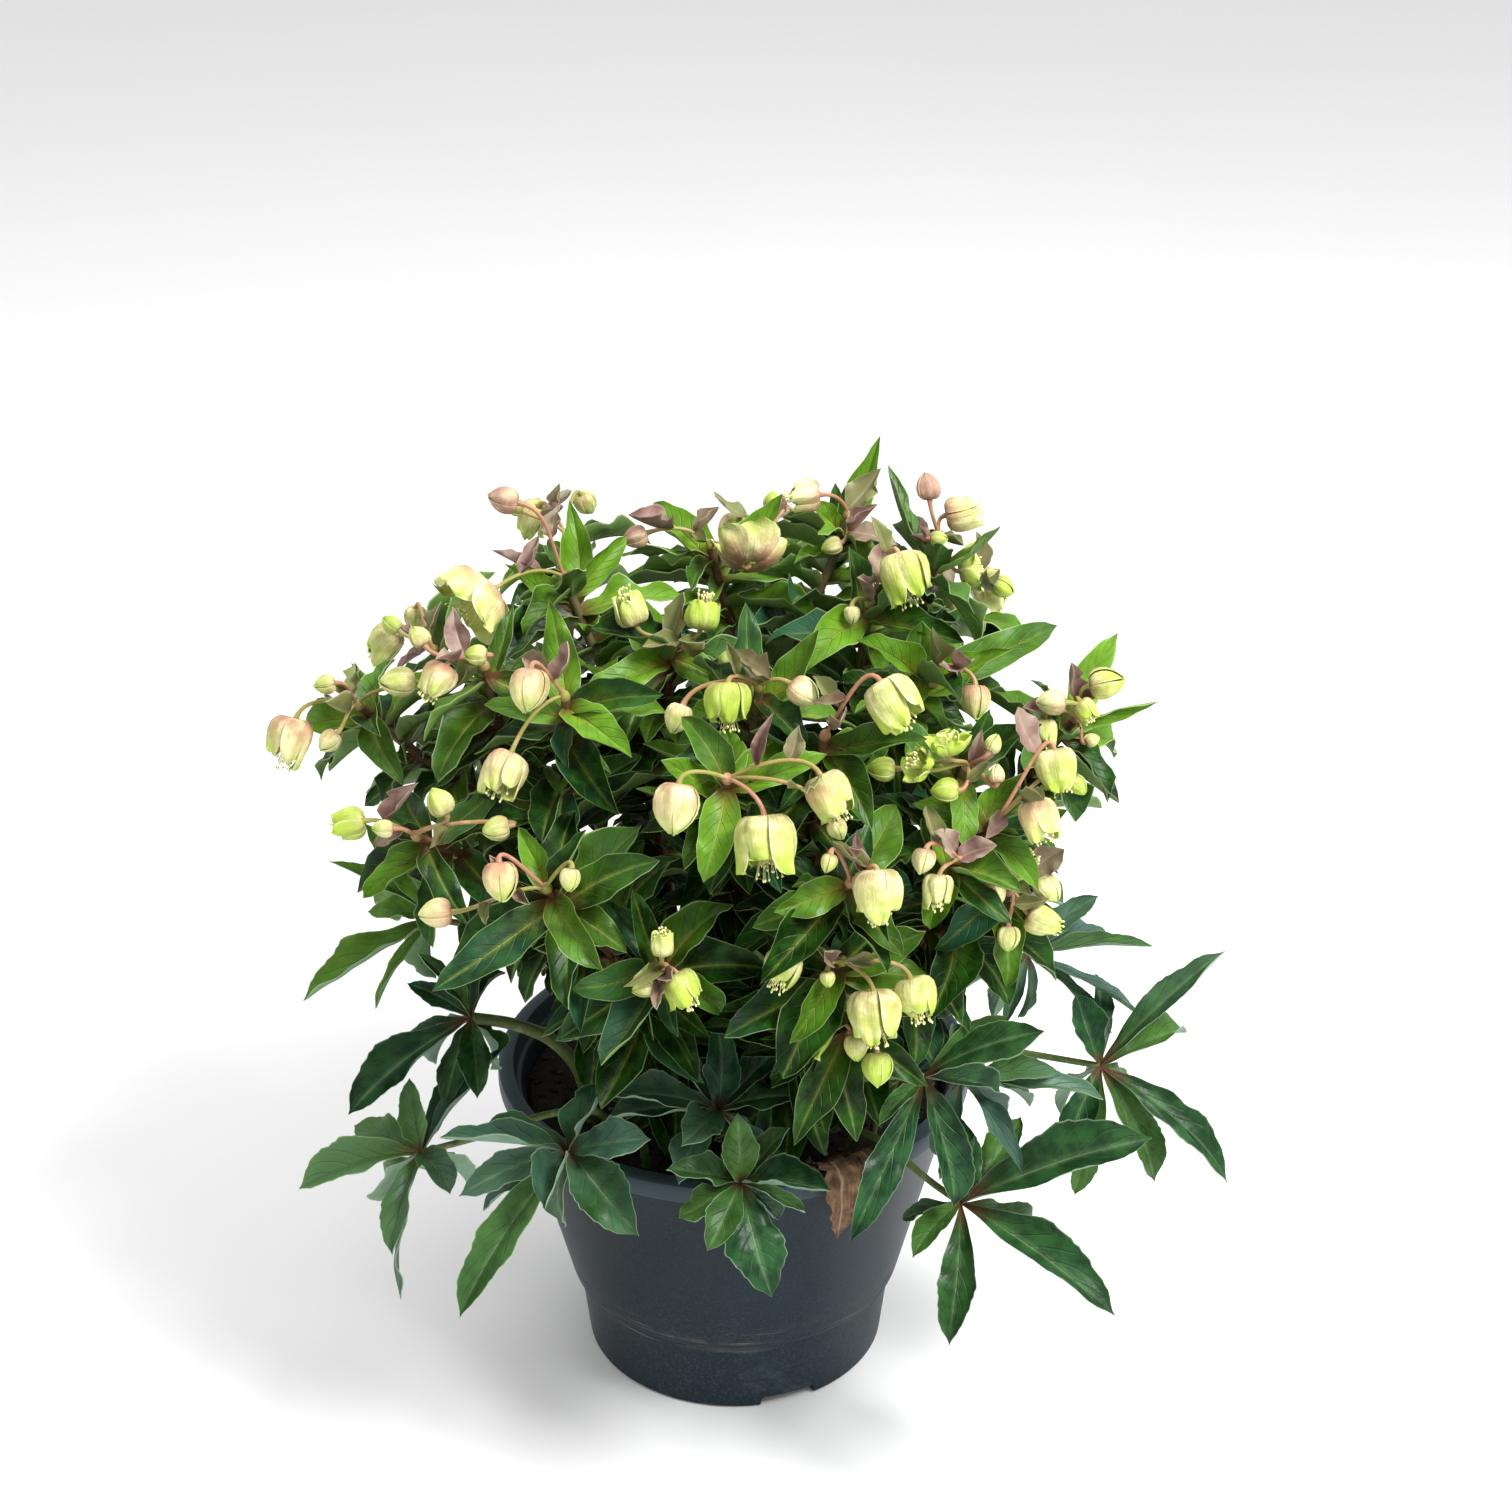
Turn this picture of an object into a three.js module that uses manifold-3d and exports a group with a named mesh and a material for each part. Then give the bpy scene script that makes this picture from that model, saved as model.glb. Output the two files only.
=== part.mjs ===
// A hellebore in a round nursery pot, in millimetres, +Z up, with the pot's axis on Z and its foot at z = 0.
//
// The pot is a tapered shell with a rolled lip, a stepped foot band and three drain slots, filled with potting soil.
// Leafy stems stand in holes in the soil. Each forks once, and each fork ends in a whorl of bract leaves and a
// cyme: a knob with nodding buds and bells on arched stalks. Fans of toothed leaflets grow from the crown on
// stalks of their own and droop over the lip. Leaves are turned, one at a time, until they clear what is there.

import * as THREE from "three";
import Module from "manifold-3d";
import { mergeVertices } from "three/addons/utils/BufferGeometryUtils.js";

const wasm = await Module();
wasm.setup();

// ---------- driving dimensions ----------

const POT = {
  height: 158,
  lipRadius: 115,
  footRadius: 74,
  bandHeight: 42, // the foot band's top, where the wall steps out
  wall: 2,
  floor: 3,
  sides: 24,
  slots: 3,
  slotTurn: -69, // the first drain slot's bearing, in degrees from +X
  slotWidth: 28,
  slotHeight: 5.5,
};
const SOIL = { top: 140, gap: 0.3, crown: 3 }; // crown: how far the middle stands above the edge
const GAP = 0.3; // between pieces that touch
const HOLE_DEPTH = 22;
const HOLE_CLEARANCE = 0.6;
const FORK_ZONE = 13;
// clear: between a leaf and what it passes. root: how far from a leaf's foot its neighbours on the stem may touch it.
const ROOM = { wide: { clear: 2.2, root: 7 }, close: { clear: 1.1, root: 17 } };
const CLEAR_AT_FORK = 0.5; // of the cyme on a leaf's own fork
const BLADE = { rib: 1.5, step: 4.2 }; // thickness along the midrib; spacing of the points that test clearance
const STEM_RADIUS = { foot: 3.1, fork: 2.1 };
const STEM_SIDES = 4;
const KNOB = { radius: 2.5, height: 4.4 }; // where a cyme's stalks meet
const STALK = { radius: 1.05, sides: 3, steps: 2 }; // a bloom's stalk
const RISING = 0.62; // a leaf nearer to the stem's line than this cosine swings out and up, the others arch over
const ARCH = { rising: -0.8, spreading: 0.5, more: 0.6, leaflet: 0.6 };
const LEAF_SPACING = { first: 4, next: 3.2, more: 41 }; // down the stem from the fork
const PETIOLE_RADIUS = { foot: 2.5, knot: 1.8 };
const SEED = 2411;

// Directions are given as seen from in front and 26 degrees above: a bearing in degrees, 0 to the right and 90
// up, and a lean in degrees out towards that viewer.
const SIGHT = THREE.MathUtils.degToRad(26);
const RIGHT = new THREE.Vector3(1, 0, 0);
const RISE = new THREE.Vector3(0, Math.sin(SIGHT), Math.cos(SIGHT));
const FRONT = new THREE.Vector3(0, -Math.cos(SIGHT), Math.sin(SIGHT));
const UP = new THREE.Vector3(0, 0, 1);
const DOME_CENTRE = new THREE.Vector3(-5, 0, 235); // leaves turn their upper faces away from here

// Cymes by name. at: the fork. blooms: [dx, dy, dz, length, kind, bearing, lean], from the fork to the bloom's
// middle. leaves: the bract leaves with a set place, [bearing, lean, length, width, roll]. more: how many the
// rule adds.
const CYMES = {
  a: { at: [-75, 8, 402], more: 5,
    blooms: [[-39, -25, -1, 40, "open", -140, 15], [-27, 0, 39, 14, "bud", 170, 0]],
    leaves: [[107, -8, 56, 18], [150, 15, 36, 13], [64, -12, 38, 14, 50], [-150, 30, 40, 18]] },
  b: { at: [-10, 40, 405], more: 5,
    blooms: [[-35, -6, 8, 12, "bud", 200, 0], [18, -18, 7, 30, "open", 88, -25]],
    leaves: [[142, -25, 46, 20], [167, 10, 50, 13, 50], [66, -30, 36, 12], [41, -8, 50, 17]] },
  c: { at: [-26, -40, 389], more: 4,
    blooms: [[-18, -4, 22, 15, "bell", 110, 10], [14, -4, 20, 15, "bell", 80, 0], [25, -10, 1, 9, "bud", 60, 0]],
    leaves: [[120, -12, 36, 14], [-160, 30, 46, 18], [-20, 30, 42, 17]] },
  d: { at: [-164, -35, 359], more: 4,
    blooms: [[-15, -6, 14, 10, "bud", 190, 0], [-31, -12, -11, 21, "bell", -105, 0],
      [-13, -18, -8, 11, "bud", -135, 10], [18, -14, 19, 16, "bud", 180, 20]],
    leaves: [[118, -12, 34, 13], [175, -20, 40, 17], [-60, 20, 38, 16]] },
  e: { at: [-106, -55, 387], more: 4,
    blooms: [[-28, 0, 16, 10, "bud", 120, 0], [-20, -14, 0, 16, "bell", -120, 10], [-3, -12, 12, 10, "bud", 180, 0]],
    leaves: [[75, -10, 38, 12], [-15, 10, 42, 17], [28, -25, 36, 15]] },
  f: { at: [-70, -80, 384], more: 4,
    blooms: [[-14, -16, 11, 19, "bud", -95, 5], [-26, -22, -25, 19, "bell", -110, 15]],
    leaves: [[98, -5, 56, 17], [10, 25, 44, 18], [-35, 35, 44, 19], [170, 15, 36, 15]] },
  g: { at: [-133, -100, 328], more: 4,
    blooms: [[10, -6, 21, 13, "bud", 120, 10], [-30, 0, 7, 14, "bell", 190, 0],
      [-14, -10, 10, 9, "bud", 180, 10], [34, -14, 12, 12, "bud", 190, 10]],
    leaves: [[-60, 20, 44, 14], [-145, 10, 40, 16], [40, 20, 40, 15]] },
  h: { at: [-75, -142, 326], more: 4,
    blooms: [[-18, -14, 11, 17, "bud", -85, 0], [-47, -4, -9, 14, "bud", 185, 5], [10, -14, 12, 10, "bud", -100, 0]],
    leaves: [[-55, 30, 42, 18], [200, 20, 66, 20], [35, 25, 50, 18], [120, -12, 34, 14]] },
  i: { at: [-1, -130, 370], more: 4,
    blooms: [[-21, -16, -5, 22, "bud", -98, 0], [16, -22, -18, 24, "bell", -85, 0],
      [42, -10, -2, 19, "bell", -65, 0], [45, -14, -15, 9, "bud", -70, 0]],
    leaves: [[92, -12, 36, 17], [-92, 25, 42, 18], [150, 35, 36, 15], [8, 15, 44, 16]] },
  j: { at: [12, -88, 392], more: 4,
    blooms: [[-34, -10, -9, 13, "bud", -110, 0], [-13, -14, -1, 19, "bell", -90, 0], [19, -12, 4, 14, "bud", -35, 10]],
    leaves: [[95, -12, 43, 15], [45, 15, 44, 18], [-30, 30, 34, 15]] },
  k: { at: [39, -108, 379], more: 4,
    blooms: [[28, -14, 22, 21, "bell", -60, 5]],
    leaves: [[2, 15, 46, 17], [-60, 25, 42, 17]] },
  l: { at: [61, -10, 397], more: 4,
    blooms: [[15, -16, 20, 22, "bell", -75, 5], [-8, -12, 1, 8, "bud", -90, 0]],
    leaves: [[-12, 25, 46, 19], [-150, 30, 48, 19], [100, -12, 40, 18]] },
  m: { at: [53, 45, 418], more: 4,
    blooms: [[-21, -8, 14, 15, "bell", 185, 0], [-8, -12, -9, 10, "bud", 200, 0]],
    leaves: [[69, -12, 56, 17], [93, -30, 34, 10], [128, -10, 26, 10], [-75, 25, 30, 17]] },
  n: { at: [94, 35, 402], more: 4,
    blooms: [[-5, 0, 36, 13, "bud", 95, 0], [12, 8, 20, 16, "bell", 10, 5], [0, -10, 14, 8, "bud", 0, 0],
      [16, 5, -7, 20, "open", 10, 10]],
    leaves: [[118, -12, 54, 12, 45], [42, 20, 52, 14]] },
  o: { at: [86, -50, 384], more: 4,
    blooms: [[19, -16, -8, 15, "bud", -90, 0]],
    leaves: [[47, 0, 50, 19], [20, 28, 46, 18], [24, -20, 76, 19], [155, 20, 36, 18], [-130, 30, 34, 15]] },
  p: { at: [152, -30, 350], more: 4,
    blooms: [[14, -4, 21, 16, "bud", 10, 5], [-12, -14, 16, 13, "bud", 180, 0], [4, -10, 10, 10, "bell", -60, 0],
      [-14, -14, 1, 12, "bell", -90, 0], [9, -4, -7, 7, "bud", 20, 0]],
    leaves: [[60, -28, 54, 17], [25, 5, 45, 8, 50]] },
  q: { at: [99, -100, 361], more: 4,
    blooms: [[-9, -10, 17, 17, "open", 95, 20], [-21, -12, 8, 16, "open", 150, 30], [-10, -14, -3, 12, "bud", 180, 0],
      [11, -6, 15, 8, "bud", 60, 0], [12, -12, 4, 8, "bud", 90, 0], [-36, -4, 2, 12, "bud", 180, 0]],
    leaves: [[75, -12, 36, 17], [-100, 25, 34, 13], [150, 10, 40, 15]] },
  r: { at: [110, -112, 341], more: 3,
    blooms: [[18, -14, 9, 17, "bell", -75, 0], [27, 6, 22, 18, "bell", -80, 0], [36, 6, 15, 9, "bud", -50, 0]],
    leaves: [[125, -12, 34, 18], [55, -12, 36, 17], [-45, 20, 36, 15], [5, 0, 40, 13]] },
  s: { at: [49, -150, 333], more: 4,
    blooms: [[11, -12, 1, 21, "bell", -88, 0], [-9, -10, 15, 8, "bud", -100, 0]],
    leaves: [[57, -12, 46, 21], [190, 20, 34, 16], [-60, 25, 38, 16]] },
  t: { at: [94, -128, 332], more: 3,
    blooms: [[-14, -10, 5, 11, "bud", -100, 0], [-8, -12, -8, 14, "bell", -95, 0]],
    leaves: [[-42, 25, 36, 13], [-110, 20, 36, 16], [90, -12, 32, 15]] },
  u: { at: [118, -112, 308], more: 3,
    blooms: [[4, -6, 17, 14, "bell", 30, 10], [-6, -12, 7, 11, "bud", -60, 0], [17, -2, 3, 13, "bud", -55, 0],
      [15, -6, -10, 14, "bell", -25, 0], [0, -10, -17, 11, "bud", -90, 0]],
    leaves: [[-20, 0, 42, 15], [-60, 10, 40, 15], [-115, 15, 38, 16]] },
  v: { at: [46, -148, 295], more: 4,
    blooms: [[-25, -12, 3, 16, "bell", -105, 0], [-6, -14, 0, 7, "bud", -90, 0], [14, -16, -17, 22, "bell", -85, 0],
      [31, -10, -12, 18, "bell", -75, 0]],
    leaves: [[-132, 20, 40, 16], [10, 20, 42, 17], [155, 15, 36, 15]] },
  w: { at: [51, -140, 256], more: 4,
    blooms: [[-17, -8, 5, 17, "bell", -120, 10], [2, -14, 1, 12, "bud", -90, 0], [11, -16, -9, 15, "bud", -88, 0]],
    leaves: [[-128, 20, 54, 19], [-45, 20, 44, 17]] },
  x: { at: [-27, -150, 293], more: 4,
    blooms: [[-1, -8, 17, 10, "bell", 90, 10], [8, -10, -4, 15, "bell", -65, 0], [-9, -10, -3, 10, "bud", 195, 0]],
    leaves: [[190, 15, 40, 18], [-35, 20, 34, 16], [130, -12, 40, 15]] },
  back_a: { at: [-80, 95, 388], more: 6,
    blooms: [[-18, 18, 4, 17, "bell", -120, -40], [8, 22, 10, 13, "bud", -60, -40], [-26, 4, 16, 10, "bud", 150, 0]],
    leaves: [] },
  back_b: { at: [-140, 45, 350], more: 6,
    blooms: [[-26, 8, 2, 17, "bell", -130, -20], [-12, 22, 8, 13, "bud", -100, -30], [-20, -6, 18, 10, "bud", 140, 0]],
    leaves: [] },
  back_c: { at: [15, 125, 372], more: 6,
    blooms: [[-14, 26, -4, 21, "bell", -100, -40], [16, 24, 4, 14, "bud", -70, -40], [4, 14, 20, 10, "bud", 80, -20]],
    leaves: [] },
  back_d: { at: [108, 98, 350], more: 6,
    blooms: [[18, 20, 2, 19, "bell", -70, -40], [-8, 26, 6, 13, "bud", -100, -40], [24, 4, 10, 12, "bud", -30, -10]],
    leaves: [] },
};

// Stems: foot on the soil, and the cymes that the fork carries.
const STEMS = {
  stem_left_top: { foot: [-22, 6], carries: ["a", "c"] },
  stem_top: { foot: [2, 18], carries: ["b", "m"] },
  stem_left: { foot: [-46, -8], carries: ["d", "e"] },
  stem_left_front: { foot: [-36, -27], carries: ["f", "g"] },
  stem_front_left: { foot: [-24, -46], carries: ["h", "x"] },
  stem_front: { foot: [-4, -30], carries: ["i", "j"] },
  stem_front_right: { foot: [14, -36], carries: ["k", "s"] },
  stem_right_top: { foot: [22, -4], carries: ["l", "o"] },
  stem_right_back: { foot: [36, 18], carries: ["n", "back_d"] },
  stem_right: { foot: [52, -2], carries: ["p"] },
  stem_right_mid: { foot: [36, -26], carries: ["q", "r"] },
  stem_right_front: { foot: [36, -50], carries: ["t", "u"] },
  stem_low_front: { foot: [14, -60], carries: ["v", "w"] },
  stem_left_back: { foot: [-34, 26], carries: ["back_a", "back_b"] },
  stem_back: { foot: [4, 42], carries: ["back_c"] },
};

// Fans of leaflets. foot: where the stalk leaves the soil. at: the knot that the leaflets spread from.
// leaflets: [bearing, lean, length, width, roll].
const FANS = {
  fan_left_low: { foot: [-52, -58], at: [-142, -92, 162],
    leaflets: [[196, 10, 58, 21], [168, -15, 42, 18], [-105, 25, 50, 20], [-100, -25, 84, 12, 40],
      [98, 10, 36, 14], [-40, 45, 30, 18]] },
  fan_front_left: { foot: [-40, -72], at: [-72, -126, 186],
    leaflets: [[-45, 35, 56, 25], [-124, 10, 88, 21], [-150, 10, 52, 14], [176, 0, 40, 16], [-112, 50, 42, 18],
      [62, 15, 38, 17], [14, 30, 44, 18]] },
  fan_left: { foot: [-68, -34], at: [-120, -60, 214],
    leaflets: [[-134, 10, 72, 21], [-106, 10, 43, 13], [-80, 15, 42, 17], [152, 0, 34, 10], [-160, -25, 44, 12]] },
  fan_left_high: { foot: [-62, -14], at: [-136, -46, 258],
    leaflets: [[-147, 10, 70, 16], [150, 10, 56, 8], [172, 15, 32, 14], [-124, 0, 50, 9]] },
  fan_front: { foot: [-2, -86], at: [4, -134, 175],
    leaflets: [[-75, 15, 52, 26], [-3, 25, 44, 18], [36, 10, 34, 15], [92, 35, 42, 16], [-150, 0, 32, 15],
      [166, 20, 36, 16], [-118, 30, 38, 15]] },
  fan_front_inner: { foot: [-12, -74], at: [-6, -106, 194],
    leaflets: [[88, 20, 42, 17], [116, 15, 44, 17], [158, 20, 48, 17], [62, 10, 44, 16], [-150, 45, 40, 18],
      [-112, 40, 40, 17], [-176, 0, 54, 18], [30, 20, 40, 15]] },
  fan_right_low: { foot: [52, -66], at: [102, -126, 158],
    leaflets: [[21, 10, 92, 28], [-35, 15, 84, 23], [-97, 15, 64, 17], [-138, 20, 36, 16], [78, 10, 34, 14],
      [50, 5, 52, 14]] },
  fan_right: { foot: [66, -46], at: [103, -92, 202],
    leaflets: [[160, 40, 26, 14], [60, 10, 28, 13], [6, 10, 46, 11], [-7, 5, 68, 12], [-22, 20, 58, 17],
      [-58, 30, 54, 10]] },
  fan_right_far: { foot: [74, -20], at: [170, -60, 188],
    leaflets: [[44, 5, 80, 18], [96, 10, 36, 17], [-39, 5, 82, 15], [-64, -5, 62, 20], [-98, -20, 70, 16]] },
  fan_right_high: { foot: [72, 6], at: [138, -24, 226],
    leaflets: [[5, 5, 60, 10], [-28, 10, 62, 8], [-42, 0, 56, 7], [40, -10, 44, 12]] },
  fan_front_right: { foot: [24, -80], at: [84, -122, 222],
    leaflets: [[-116, 15, 80, 18], [-86, 10, 62, 20], [-140, 35, 34, 10]] },
  fan_back_left: { foot: [-58, 44], at: [-112, 96, 206],
    leaflets: [[196, -30, 70, 20], [160, -20, 56, 17], [-120, -50, 60, 18], [120, -40, 50, 15], [-60, -60, 56, 17]] },
  fan_back: { foot: [-6, 74], at: [6, 142, 200],
    leaflets: [[-90, -70, 72, 22], [-20, -50, 60, 18], [200, -50, 60, 18], [30, -40, 46, 15], [150, -40, 46, 15]] },
  fan_back_right: { foot: [56, 46], at: [118, 88, 200],
    leaflets: [[-10, -30, 70, 20], [25, -20, 56, 17], [-60, -50, 60, 18], [60, -40, 48, 15], [-120, -60, 54, 17]] },
};

// A dried leaf that lies over the lip: its bearing from the axis, half width, thickness, and its midrib as [radius, z].
const WITHERED = {
  turn: -62,
  half: 8,
  thick: 1.2,
  rib: [[86, 145.5], [97, 152], [106, 158.95], [113.5, 159.3], [117.2, 155.5], [117.6, 144], [116, 134]],
  spread: [0, 0.5, 0.8, 0.7, 1, 0.6, 0], // of the half width
  curl: [0, 0.4, 0.1, 0.35, 0.2, 0.6, 0], // how far the edges stand up, as a share of the half width
};

const COLOURS = {
  pot: { color: "#3d474e", roughness: 0.55 },
  soil: { color: "#1e1813", roughness: 1 },
  leaf: { color: "#2f6327", roughness: 0.42 },
  leaflet: { color: "#2b5233", roughness: 0.45 },
  bloom: { color: "#cdd08a", roughness: 0.6 },
  withered: { color: "#7a5f49", roughness: 0.9 },
};

// ---------- numbers and directions ----------

let drawn = SEED;
function draw(low, high) {
  drawn = (drawn * 1664525 + 1013904223) % 4294967296;
  return low + (high - low) * (drawn / 4294967296);
}

const vec = (a) => new THREE.Vector3(...a);
const along = (p, d, s) => p.clone().addScaledVector(d, s);
const rad = THREE.MathUtils.degToRad;

function bearing(turn, lean) {
  return RIGHT.clone().multiplyScalar(Math.cos(rad(turn)) * Math.cos(rad(lean)))
    .addScaledVector(RISE, Math.sin(rad(turn)) * Math.cos(rad(lean)))
    .addScaledVector(FRONT, Math.sin(rad(lean)));
}

const SEAM = new THREE.Vector3(0.31, -0.9, 0.2); // the side that a tube's first corner is on

// The part of n that is square to d.
function squareTo(n, d) {
  const s = n.clone().addScaledVector(d, -n.dot(d));
  return s.length() > 1e-3 ? s.normalize() : squareTo(new THREE.Vector3(0.3, -0.9, 0.3), d);
}

function bezier(p0, p1, p2, p3, steps) {
  return new THREE.CubicBezierCurve3(p0, p1, p2, p3).getPoints(steps);
}

// ---------- closed solids from rings of points ----------

// Joins rings of points into one closed skin. A ring of one point is a tip, and one of two is an edge.
function skin(rings) {
  const faces = [];
  let start = 0;
  for (let r = 0; r + 1 < rings.length; r++) {
    faces.push(...stitch(start, rings[r].length, start + rings[r].length, rings[r + 1].length));
    start += rings[r].length;
  }
  for (let k = 1; k + 1 < rings[0].length; k++) faces.push(0, k + 1, k);
  for (let k = 1; k + 1 < rings.at(-1).length; k++) faces.push(start, start + k, start + k + 1);
  return solid(rings.flat(), faces);
}

// The triangles between a ring of na points from index a and one of nb from index b, whatever their counts.
function stitch(a, na, b, nb) {
  const faces = [];
  let [i, j] = [0, 0];
  const [endA, endB] = [na > 1 ? na : 0, nb > 1 ? nb : 0];
  while (i < endA || j < endB) {
    const ahead = (i + 1) * nb - (j + 1) * na;
    const tied = ahead === 0 && (na !== nb || i % 2 === 0);
    const [p, q] = [a + (i % na), b + (j % nb)];
    if (i < endA && (j >= endB || ahead < 0 || tied)) {
      faces.push(p, a + ((i + 1) % na), q);
      i++;
    } else {
      faces.push(p, b + ((j + 1) % nb), q);
      j++;
    }
  }
  return faces;
}

function solid(points, faces) {
  const vertProperties = new Float32Array(points.flatMap((p) => [p.x, p.y, p.z]));
  const made = new wasm.Manifold(new wasm.Mesh({ numProp: 3, vertProperties, triVerts: new Uint32Array(faces) }));
  if (made.volume() > 0) return made;
  for (let i = 0; i < faces.length; i += 3) [faces[i], faces[i + 1]] = [faces[i + 1], faces[i]];
  return new wasm.Manifold(new wasm.Mesh({ numProp: 3, vertProperties, triVerts: new Uint32Array(faces) }));
}

function ofGeometry(geometry) {
  geometry.deleteAttribute("normal");
  geometry.deleteAttribute("uv");
  const merged = mergeVertices(geometry, 1e-3);
  return new wasm.Manifold(new wasm.Mesh({
    numProp: 3,
    vertProperties: merged.attributes.position.array,
    triVerts: new Uint32Array(merged.index.array),
  }));
}

// A round ring of points about p, square to d.
function ring(p, d, radius, sides, from) {
  const side = squareTo(from, d);
  const over = new THREE.Vector3().crossVectors(d, side);
  return Array.from({ length: sides }, (_, k) => {
    const turn = (2 * Math.PI * k) / sides;
    return along(along(p, side, radius * Math.cos(turn)), over, radius * Math.sin(turn));
  });
}

function headings(points) {
  return points.map((p, i) => {
    const [from, to] = [points[Math.max(0, i - 1)], points[Math.min(points.length - 1, i + 1)]];
    return to.clone().sub(from).normalize();
  });
}

// Rings along a line of points, each turned as little as possible from the one before.
function tubeRings(points, radius, sides, end) {
  let side = SEAM;
  const ways = headings(points);
  if (end) ways[ways.length - 1] = end;
  return ways.map((d, i) => {
    side = squareTo(side, d);
    return ring(points[i], d, radius(i / (points.length - 1)), sides, side);
  });
}

function tube(points, radius, end) {
  return skin(tubeRings(points, radius, STEM_SIDES, end));
}

// ---------- leaf blades ----------

// Half the blade's width at t, from 0 at the foot to 1 at the tip.
const OUTLINE = {
  bract: (t) => 0.07 + 0.93 * Math.pow(Math.sin(Math.PI * Math.pow(t, 0.86)), 0.8),
  leaflet: (t) => 0.06 + 0.94 * Math.pow(Math.sin(Math.PI * Math.pow(t, 1.25)), 0.9),
};
const STATIONS = { bract: [0.34, 0.68], plain: [0.44], leaflet: [0.46, 0.74], broad: [0.46, 0.62, 0.66, 0.8] };
const BROAD = 60; // leaflets longer than this have two teeth to a side
const TOOTH = { 0.62: 1.08, 0.66: 0.86, 0.74: 1.15, 0.8: 1.15 }; // where the edge stands out, and steps back in

// A leaf from its foot along a chord, with its upper face towards face, arched back by the angle arch.
function makeLeaf(foot, chord, face, length, width, arch, shape) {
  const level = squareTo(face, chord);
  const heading = chord.clone().multiplyScalar(Math.cos(arch / 2)).addScaledVector(level, Math.sin(arch / 2));
  const normal = squareTo(level, heading);
  return { foot, heading, normal, side: new THREE.Vector3().crossVectors(heading, normal),
    length, width, arch, fold: 0.3, shape };
}

// The midrib's point and the upper face's direction at t.
function ribAt(leaf, t) {
  const [bend, run] = [leaf.arch * t, leaf.length / leaf.arch];
  const point = along(along(leaf.foot, leaf.heading, run * Math.sin(bend)), leaf.normal, -run * (1 - Math.cos(bend)));
  const normal = leaf.normal.clone().multiplyScalar(Math.cos(bend)).addScaledVector(leaf.heading, Math.sin(bend));
  return { point, normal };
}

// A point of the blade: t along it, and v across it, from -1 to 1.
function bladeAt(leaf, t, v) {
  const { point, normal } = ribAt(leaf, t);
  const half = (leaf.width / 2) * (leaf.shape === "leaflet" ? OUTLINE.leaflet : OUTLINE.bract)(t);
  return along(along(point, leaf.side, v * half * Math.cos(leaf.fold)), normal, Math.abs(v) * half * Math.sin(leaf.fold));
}

function blade(leaf) {
  const toothed = leaf.shape === "leaflet";
  const rib = (t) => {
    const { point, normal } = ribAt(leaf, t);
    const thick = (BLADE.rib / 2) * (1.1 - 0.5 * t);
    return [along(point, normal, thick), along(point, normal, -thick)];
  };
  const rings = STATIONS[toothed && leaf.length > BROAD ? "broad" : leaf.shape].map((t) => {
    const [over, under] = rib(t);
    const reach = toothed ? TOOTH[t] ?? 1 : 1;
    return [over, bladeAt(leaf, t, reach), under, bladeAt(leaf, t, -reach)];
  });
  return skin([rib(0), ...rings, [ribAt(leaf, 1).point]]);
}

// ---------- keeping clear ----------

// A line's points with more between them, so that nothing slips through.
function finely(line) {
  return line.flatMap((p, i) => {
    if (i === 0) return [p];
    const steps = Math.ceil(p.distanceTo(line[i - 1]) / BLADE.step);
    return Array.from({ length: steps }, (_, k) => line[i - 1].clone().lerp(p, (k + 1) / steps));
  });
}

const kept = []; // every point that a new leaf has to clear: {p, r, node}

function keepLine(points, radius, node) {
  points.forEach((p, i) => kept.push({ p, r: radius(i / (points.length - 1)), node }));
}

function leafPoints(leaf) {
  const rows = Math.max(3, Math.ceil(leaf.length / BLADE.step));
  const columns = Math.max(1, Math.ceil(leaf.width / 2 / BLADE.step));
  const found = [];
  for (let i = 1; i <= rows; i++)
    for (let k = -columns; k <= columns; k++) found.push(bladeAt(leaf, i / rows, k / columns));
  return found;
}

// Whether a point is in the pot's wall or lip, in the soil, or too near to them.
function nearPot(p) {
  const away = Math.hypot(p.x, p.y);
  const margin = ROOM.wide.clear + BLADE.rib / 2;
  if (away > POT.lipRadius + margin || p.z > POT.height + margin) return p.z < margin;
  return away > innerRadius(p.z) - margin || p.z < SOIL.top + SOIL.crown + margin;
}

function isClear(leaf, node, cyme, room) {
  return leafPoints(leaf).every((p) => {
    if (nearPot(p)) return false;
    const out = p.distanceTo(leaf.foot);
    return kept.every((k) => {
      if (k.node === node && out < room.root) return true;
      const needed = out < FORK_ZONE && k.node === cyme ? CLEAR_AT_FORK : room.clear;
      return p.distanceTo(k.p) > k.r + BLADE.rib / 2 + needed;
    });
  });
}

// Turns and shortens a leaf by small steps until it clears all that is kept, or gives up. A leaf that has to come
// near its set direction goes closer to its neighbours before it turns far.
const TURNS = [[0, 0], [8, 0], [-8, 0], [0, 10], [0, -10], [15, 0], [-15, 0], [12, 12], [-12, 12], [12, -12], [-12, -12],
  [0, 20], [0, -20], [25, 0], [-25, 0], [22, 18], [-22, 18], [22, -18], [-22, -18], [36, 0], [-36, 0], [0, 32], [0, -32]];

const NEAR_TURNS = TURNS.slice(0, 11);
const PLAIN_TRIES = [[ROOM.wide, TURNS, [1, 0.85, 0.7]]];
const SET_TRIES = [[ROOM.wide, NEAR_TURNS, [1]], [ROOM.close, NEAR_TURNS, [1, 0.85]], ...PLAIN_TRIES,
  [ROOM.close, TURNS, [1, 0.85, 0.7]]];

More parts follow.
